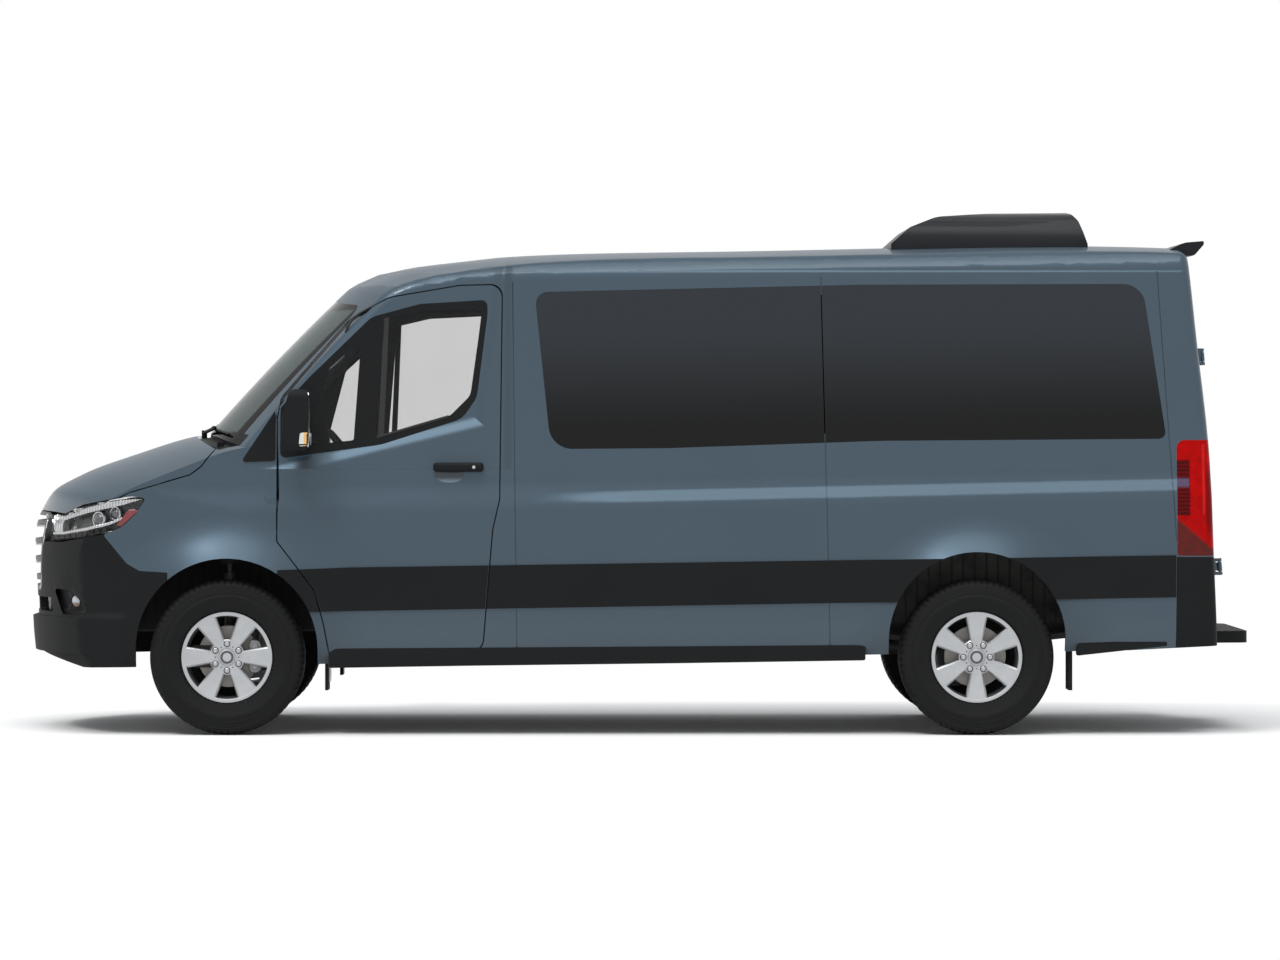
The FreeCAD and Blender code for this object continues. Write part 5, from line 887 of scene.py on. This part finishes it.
def seat_pad(name, start, points, place):
    """A copy of a swollen pad at its place, with one subdivision."""
    mesh = start.copy()
    mesh.name = name
    mesh.vertices.foreach_set("co", place(points).astype(np.float32).ravel())
    mesh.materials.clear()
    mesh.materials.append(cloth.material)
    mesh.shade_smooth()
    mesh.update()
    piece = bpy.data.objects.new(name, mesh)
    bpy.context.scene.collection.objects.link(piece)
    finer = piece.modifiers.new("finer", "SUBSURF")
    finer.levels = finer.render_levels = 1
    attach(piece, "body")
    return piece


base_mesh, base_points = swollen("cushion_form", pad_form(0.224, 0.226, 0.043, 0.012), 4.0, 0.022, 0.016)
back_mesh, back_points = swollen("back_form", pad_form(0.290, 0.224, 0.040, 0.014), 4.0, 0.020, 0.016)
base_points = seams(base_points, (-0.10, -0.02, 0.06, 0.14))
back_points = seams(back_points, (-0.18, -0.09, 0.0, 0.09, 0.18))
LEAN = math.atan2(105, 590)
ROWS, ROW_PITCH, LAST_ROW, BENCH_MIDDLE, HALF_PLACE = 4, 0.800, 2.112, -0.40, 0.2375
places = [(FRONT_AXLE + 0.720, y, 0.96) for y in (-0.54, 0.54)]
for row in range(ROWS):
    row_x = LAST_ROW - ROW_PITCH * (ROWS - 1 - row)
    places += [(row_x, BENCH_MIDDLE + side * HALF_PLACE, 0.955) for side in (-1, 1)]
for number, (x, y, narrow) in enumerate(places):
    def level(p):
        """The cushion lies on its frame, with its top upwards."""
        return xyz(x + 0.221 + p[:, 0], y + p[:, 1] * narrow, 1.021 + p[:, 2] * 0.88)

    def leaning(p):
        """Length becomes height along the back, which leans to the rear; the pad's top faces forwards."""
        along, out = p[:, 0] + 0.31, p[:, 2]
        return xyz(x + 0.453 + along * math.sin(LEAN) - out * math.cos(LEAN), y + p[:, 1] * narrow,
                   1.083 + along * math.cos(LEAN) + out * math.sin(LEAN))

    cushion = seat_pad(f"cushion_{number}", base_mesh, base_points, level)
    seat_pad(f"backrest_{number}", back_mesh, back_points, leaning)
    if number == 0:
        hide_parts("seat_pads")

# Studio: a pale floor that is white again beyond the vehicle's shadow, and white all round. One broad soft light
# from above lights the vehicle, and a smaller one draws its edges. The camera stands far to the left with a long
# lens, level and square to the side.


def background_share(tree):
    """1 for rays from the camera, and for those that a gloss or a glass sends on."""
    seen, glossy, through = (tree.node("ShaderNodeLightPath", out=f"Is {ray} Ray")
                             for ray in ("Camera", "Glossy", "Transmission"))
    return seen.most(glossy).most(through)


world = bpy.data.worlds.new("studio")
bpy.context.scene.world = world
world.use_nodes = True
world.node_tree.nodes.clear()
sky = Nodes(world.node_tree)
ambient = sky.node("ShaderNodeBackground", inputs={"Color": (0.95, 0.975, 1.0, 1), "Strength": 0.4})
white = sky.node("ShaderNodeBackground", inputs={"Color": (1, 1, 1, 1)})
around = sky.node("ShaderNodeMixShader", inputs=[background_share(sky), ambient, white])
sky.node("ShaderNodeOutputWorld", inputs=[around])

bpy.ops.mesh.primitive_plane_add(size=900)
floor = bpy.context.object
floor.name = "studio_floor"
ground = Finish("studio_floor", Base_Color=(0.93, 0.93, 0.93, 1), Roughness=0.95)
gx, gy, _ = ground.axes()
far = (((gx / 1.25) ** 2.0 + gy ** 2.0) ** 0.5).above(2.6, 5.0)
pale, bright = Wire(ground, ground.shader.outputs[0]), ground.node("ShaderNodeEmission")
both = ground.node("ShaderNodeMixShader", inputs=[background_share(ground) * far, pale, bright])
ground.tree.links.new(both.socket, ground.tree.nodes["Material Output"].inputs["Surface"])
floor.data.materials.append(ground.material)

for name, source, angle, strength in (("broad_light", (-0.6, -2.4, 7.0), 52, 2.3),
                                      ("edge_light", (-3.0, -4.5, 8.0), 9, 0.6)):
    light = bpy.data.lights.new(name, "SUN")
    light.angle, light.energy = math.radians(angle), strength
    lamp = bpy.data.objects.new(name, light)
    bpy.context.scene.collection.objects.link(lamp)
    lamp.rotation_euler = (-Vector(source)).to_track_quat("-Z", "Y").to_euler()

IMAGE_WIDTH, DISTANCE, EYE_HEIGHT = 1280, 28.0, 1.53
camera_data = bpy.data.cameras.new("camera")
camera = bpy.data.objects.new("camera", camera_data)
bpy.context.scene.collection.objects.link(camera)
bpy.context.scene.camera = camera
camera.location = (-0.243, -DISTANCE, EYE_HEIGHT)
camera.rotation_euler = (math.radians(90), 0, 0)
camera_data.sensor_width, camera_data.lens = 36.0, 155.7
camera_data.shift_x, camera_data.shift_y = (640 - 587) / IMAGE_WIDTH, -(480 - 422) / IMAGE_WIDTH
camera_data.clip_start, camera_data.clip_end = 0.5, 600.0
bpy.context.scene.view_settings.view_transform = "Standard"
